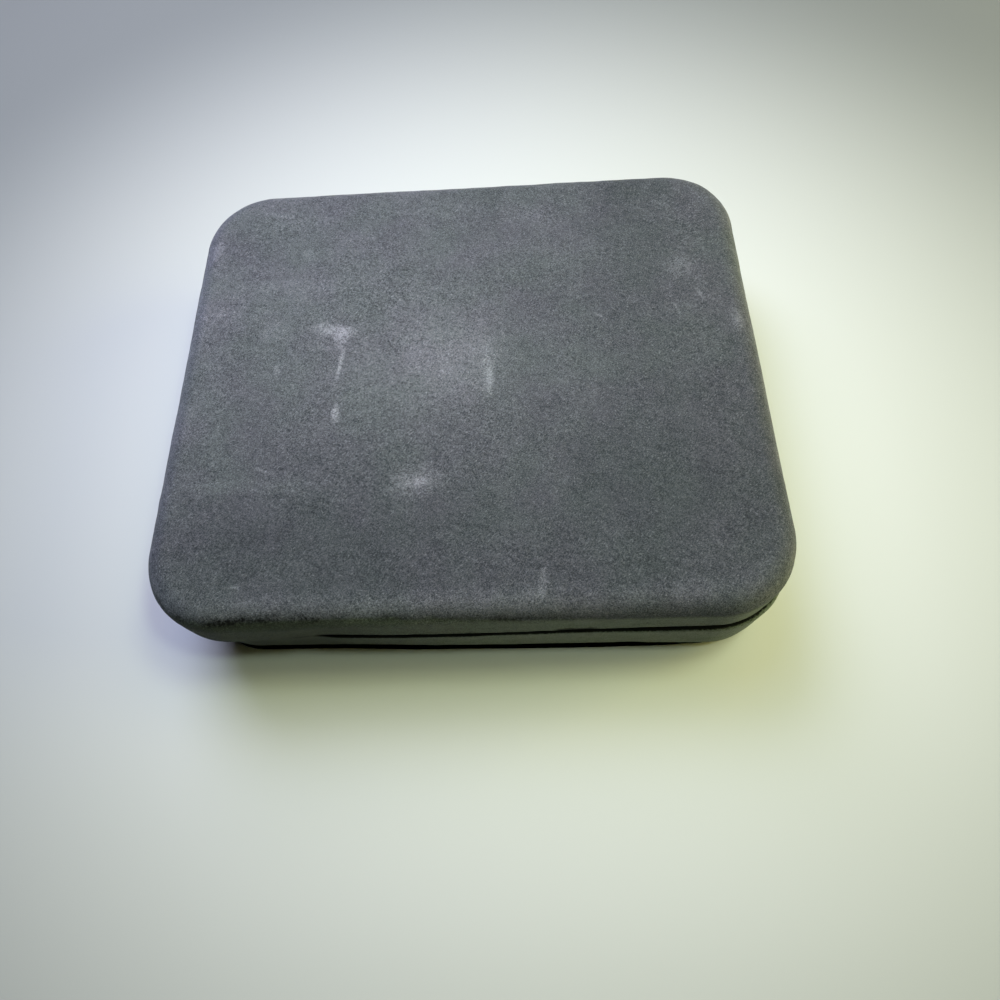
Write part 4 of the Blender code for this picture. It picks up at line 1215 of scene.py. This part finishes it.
# A strip along Z: its place across is back - bow x sin(pi x share)^2 in its middle, and its section is a
# rectangle with rounded corners, cos and sin to the power 0.35, narrowed to a round end at each tail
def springPiece(name, side):
    info = snapSpring
    reach = info["halfBow"] + info["tail"]
    along = np.linspace(-reach, reach, 61)
    bend = np.sin(math.pi * ramp(along, -info["halfBow"], info["halfBow"])) ** 2
    across = info["back"] - info["bow"] * bend - info["thickness"] / 2
    path = np.stack([0 * along + side * info["apart"], across, seamHeight + along], 1)
    sideways = np.array([1.0, 0.0, 0.0])
    face = np.cross(unit(np.gradient(path, axis=0)), sideways)
    tip = ramp(np.abs(along), reach - info["halfWidth"] / 2, reach)
    width = info["halfWidth"] * (0.5 + 0.5 * np.sqrt(1 - 0.96 * tip ** 2))
    turn = steps(0, 2 * math.pi, 24)
    boxX, boxY = (np.sign(way) * np.abs(way) ** 0.35 for way in (np.cos(turn), np.sin(turn)))
    grid = path[:, None] + (width[:, None] * boxX)[..., None] * sideways
    grid = grid + (info["thickness"] / 2 * boxY)[:, None] * face[:, None]
    return gridPiece(name, grid, poles=(path[0], path[-1]))


print("velvet over the lid and the base")
lidPile = velvetMaterial("flockedVelvetLid", outerVelvet, lidMarks, lidHigh.z)
place(lidCloth(), "lid", "outer_velvet", lidPile, "lid_velvet")
basePile = velvetMaterial("flockedVelvetBase", outerVelvet)
place(baseCloth(), "base", "outer_velvet", basePile, "base_velvet")
# a black sheet under the foot, as painted contact shadow
place(paintedShadowSoleRing(), "base", "felt", plainMaterial("paintedShadowBlack", paintedShadowBlack))

print("shells, felt and card")
plastic, card = plainMaterial("mouldedBlack", mouldedBlack), plainMaterial("greyCard", greyCard)
baseShell = mouldedShell("baseShell", -1, shell["baseFloor"], shell["baseOpen"], cloth["footRadius"])
place(baseShell, "base", "moulded_shell", plastic, "base_shell")
lidShell = mouldedShell("lidShell", 1, shell["lidTop"], shell["lidOpen"], cloth["topRadius"])
place(lidShell, "lid", "moulded_shell", plastic, "lid_shell")
place(footPanel(), "base", "felt", plainMaterial("pressedFelt", pressedFelt), "bottom_felt")

print("lining")
velvet = velvetMaterial("liningVelvet", liningVelvet)
baseLiner = linerBand("baseWallLiner", -1, wallLiner["baseFoot"])
place(baseLiner, "base", "inner_velvet", velvet, "base_wall_liner")
lidLiner = linerBand("lidWallLiner", 1, wallLiner["lidTop"])
place(lidLiner, "lid", "inner_velvet", velvet, "lid_wall_liner")
place(padPiece(), "base", "inner_velvet", velvet, "display_pad")
for side, word in ((-1, "front"), (1, "rear")):
    roll = place(rollPiece(f"ringRoll.{word}", side), "base", "inner_velvet", velvet, f"ring_roll_{word}")
elastic = plainMaterial("greyElastic", greyElastic)
for side, word in ((-1, "left"), (1, "right")):
    place(cardPiece(f"earringCard.{word}", side), "base", "inner_velvet", velvet, f"earring_card_{word}")
    place(loopPiece(f"chainLoop.{word}", side), "base", "elastic", elastic, f"chain_loop_{word}")
satin = plainMaterial("silverSatin", silverSatin)
place(liningPiece(), "lid", "satin", satin, "lining_pad")

print("hinge")
plated, sprung = plainMaterial("platedSteel", platedSteel), plainMaterial("springSteel", springSteel)
for side, word in ((-1, "left"), (1, "right")):
    spring = springPiece(f"hingeSpring.{word}", side)
    spring.data.materials.append(sprung)
    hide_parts(f"hinge_spring_{word}")
    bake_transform(spring)
cadFinishes = {"hinge": plated, "pad_": card, "lining_board": card}
for name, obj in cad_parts.items():
    for start, finish in cadFinishes.items():
        if name.startswith(start):
            for slot in obj.material_slots:
                slot.material = finish

view = {
    "position": (17.67, -134.58, 233.61),     # mm
    "lookAt": (10.17, -47.85, 45.0),
    "roll": math.radians(-6.72),
    "lens": 25.63,
    "sensor": 36,
    "clip": (0.01, 20),                       # metres
}


# Looks from its position to a point, then turns about its own line of sight
def makeCamera():
    camera = addObject("camera", bpy.data.cameras.new("camera"))
    camera.data.sensor_width = view["sensor"]
    camera.data.lens = view["lens"]
    camera.data.clip_start, camera.data.clip_end = view["clip"]
    at = Vector(view["position"]) * mm
    aim = (Vector(view["lookAt"]) * mm - at).to_track_quat("-Z", "Y").to_matrix().to_4x4()
    camera.matrix_world = Matrix.Translation(at) @ aim @ Matrix.Rotation(view["roll"], 4, "Z")
    bpy.context.scene.camera = camera


room = {
    "floorHalf": 4.0,
    "floorColour": (0.80, 0.80, 0.78, 1),
    "floorPaintedShade": (0.27, 0.28, 0.28, 1),
    "floorMiddle": (0.014, -0.003, 0),       # metres
    "floorShadeFade": (0.08, 0.33),               # metres from there to where the floor's painted shade starts and stops darkening it
    "floorHaze": (0.40, 0.68),               # and to where it starts and ends to turn into the pale horizon
    "floorGrain": 0.8 * mm,
    "floorRelief": (0.05, 0.05 * mm),
    "skyColour": (0.9, 1.0, 0.9, 1),
    "skyStrength": 0.006,
    "horizonColour": (0.70, 0.72, 0.71, 1),
}


# A square whose material darkens with the distance from its middle, by a smoothstep, as painted shade of the
# light's falloff, and which only the camera sees turn into the horizon further out
def makeFloor():
    half = room["floorHalf"]
    mesh = bpy.data.meshes.new("floor")
    corners = [(-half, -half, 0), (half, -half, 0), (half, half, 0), (-half, half, 0)]
    mesh.from_pydata(corners, [], [(0, 1, 2, 3)])
    floor = addObject("floor", mesh)
    mat, shader, coords = newMaterial("paleTable", {"Roughness": 0.55, "Specular IOR Level": 0.25})
    out = node(mat, "ShaderNodeVectorMath", {"operation": "DISTANCE"}, {0: coords, 1: room["floorMiddle"]})
    out = out.outputs["Value"]
    # painted shade: the floor's colour darkens away from the middle
    colour = mixColour(mat, fade(mat, out, *room["floorShadeFade"]), room["floorColour"], room["floorPaintedShade"])
    finishWith(mat, shader, colour, grain(mat, coords, room["floorGrain"]), room["floorRelief"])
    seen = node(mat, "ShaderNodeLightPath").outputs["Is Camera Ray"]
    haze = calc(mat, "MULTIPLY", fade(mat, out, *room["floorHaze"]), seen)
    horizon = node(mat, "ShaderNodeEmission", {}, {0: room["horizonColour"]})
    blend = node(mat, "ShaderNodeMixShader", {}, {0: haze, 1: shader.outputs[0], 2: horizon.outputs[0]})
    mat.node_tree.links.new(blend.outputs[0], mat.node_tree.nodes["Material Output"].inputs[0])
    mesh.materials.append(mat)


# A dim sky that lights the room, and a pale one that the camera sees
def makeSky():
    world = bpy.data.worlds.new("softDaylight")
    bpy.context.scene.world = world
    world.use_nodes = True
    dim = world.node_tree.nodes["Background"]
    dim.inputs[0].default_value = room["skyColour"]
    dim.inputs[1].default_value = room["skyStrength"]
    pale = node(world, "ShaderNodeBackground", {}, {0: room["horizonColour"]})
    seen = node(world, "ShaderNodeLightPath").outputs["Is Camera Ray"]
    both = node(world, "ShaderNodeMixShader", {}, {0: seen, 1: dim.outputs[0], 2: pale.outputs[0]})
    world.node_tree.links.new(both.outputs[0], world.node_tree.nodes["World Output"].inputs[0])


# Turn and height as degrees round and over the table, distance and size in metres, power in watts
lamps = [
    {"name": "windowLeft", "round": 120, "over": 50, "distance": 0.7, "size": 0.46, "power": 2.85,
     "colour": (0.745, 0.74, 1.0)},
    {"name": "ceilingLeft", "round": 120, "over": 65, "distance": 0.7, "size": 0.46, "power": 2.05,
     "colour": (0.533, 0.684, 1.0)},
    {"name": "ceilingRear", "round": 30, "over": 65, "distance": 1.3, "size": 0.86, "power": 3.55,
     "colour": (1.0, 0.817, 0.519)},
    {"name": "lowRight", "round": 5, "over": 20, "distance": 1.3, "size": 0.86, "power": 9.00,
     "colour": (1.0, 0.959, 0.303)},
    {"name": "ceilingFront", "round": -26, "over": 66.6, "distance": 0.70, "size": 0.07, "power": 0.72,
     "colour": (0.801, 1.0, 0.80)},
    {"name": "ceilingMiddle", "round": 6.8, "over": 68.5, "distance": 0.69, "size": 0.14, "power": 0.92,
     "colour": (0.822, 1.0, 0.645)},
]


# A round lamp at its direction x distance, turned to face the box
def makeLamp(lamp):
    data = bpy.data.lights.new(lamp["name"], "AREA")
    data.shape = "DISK"
    data.size = lamp["size"]
    data.energy = lamp["power"]
    data.color = lamp["colour"]
    light = addObject(lamp["name"], data)
    turn, over = math.radians(lamp["round"]), math.radians(lamp["over"])
    toLamp = Vector((math.cos(over) * math.cos(turn), math.cos(over) * math.sin(turn), math.sin(over)))
    light.location = toLamp * lamp["distance"]
    light.rotation_mode = "QUATERNION"
    light.rotation_quaternion = (-toLamp).to_track_quat("-Z", "Y")


print("camera, floor and lights")
makeCamera()
makeFloor()
makeSky()
for lamp in lamps:
    makeLamp(lamp)
bpy.context.scene.view_settings.view_transform = "Standard"
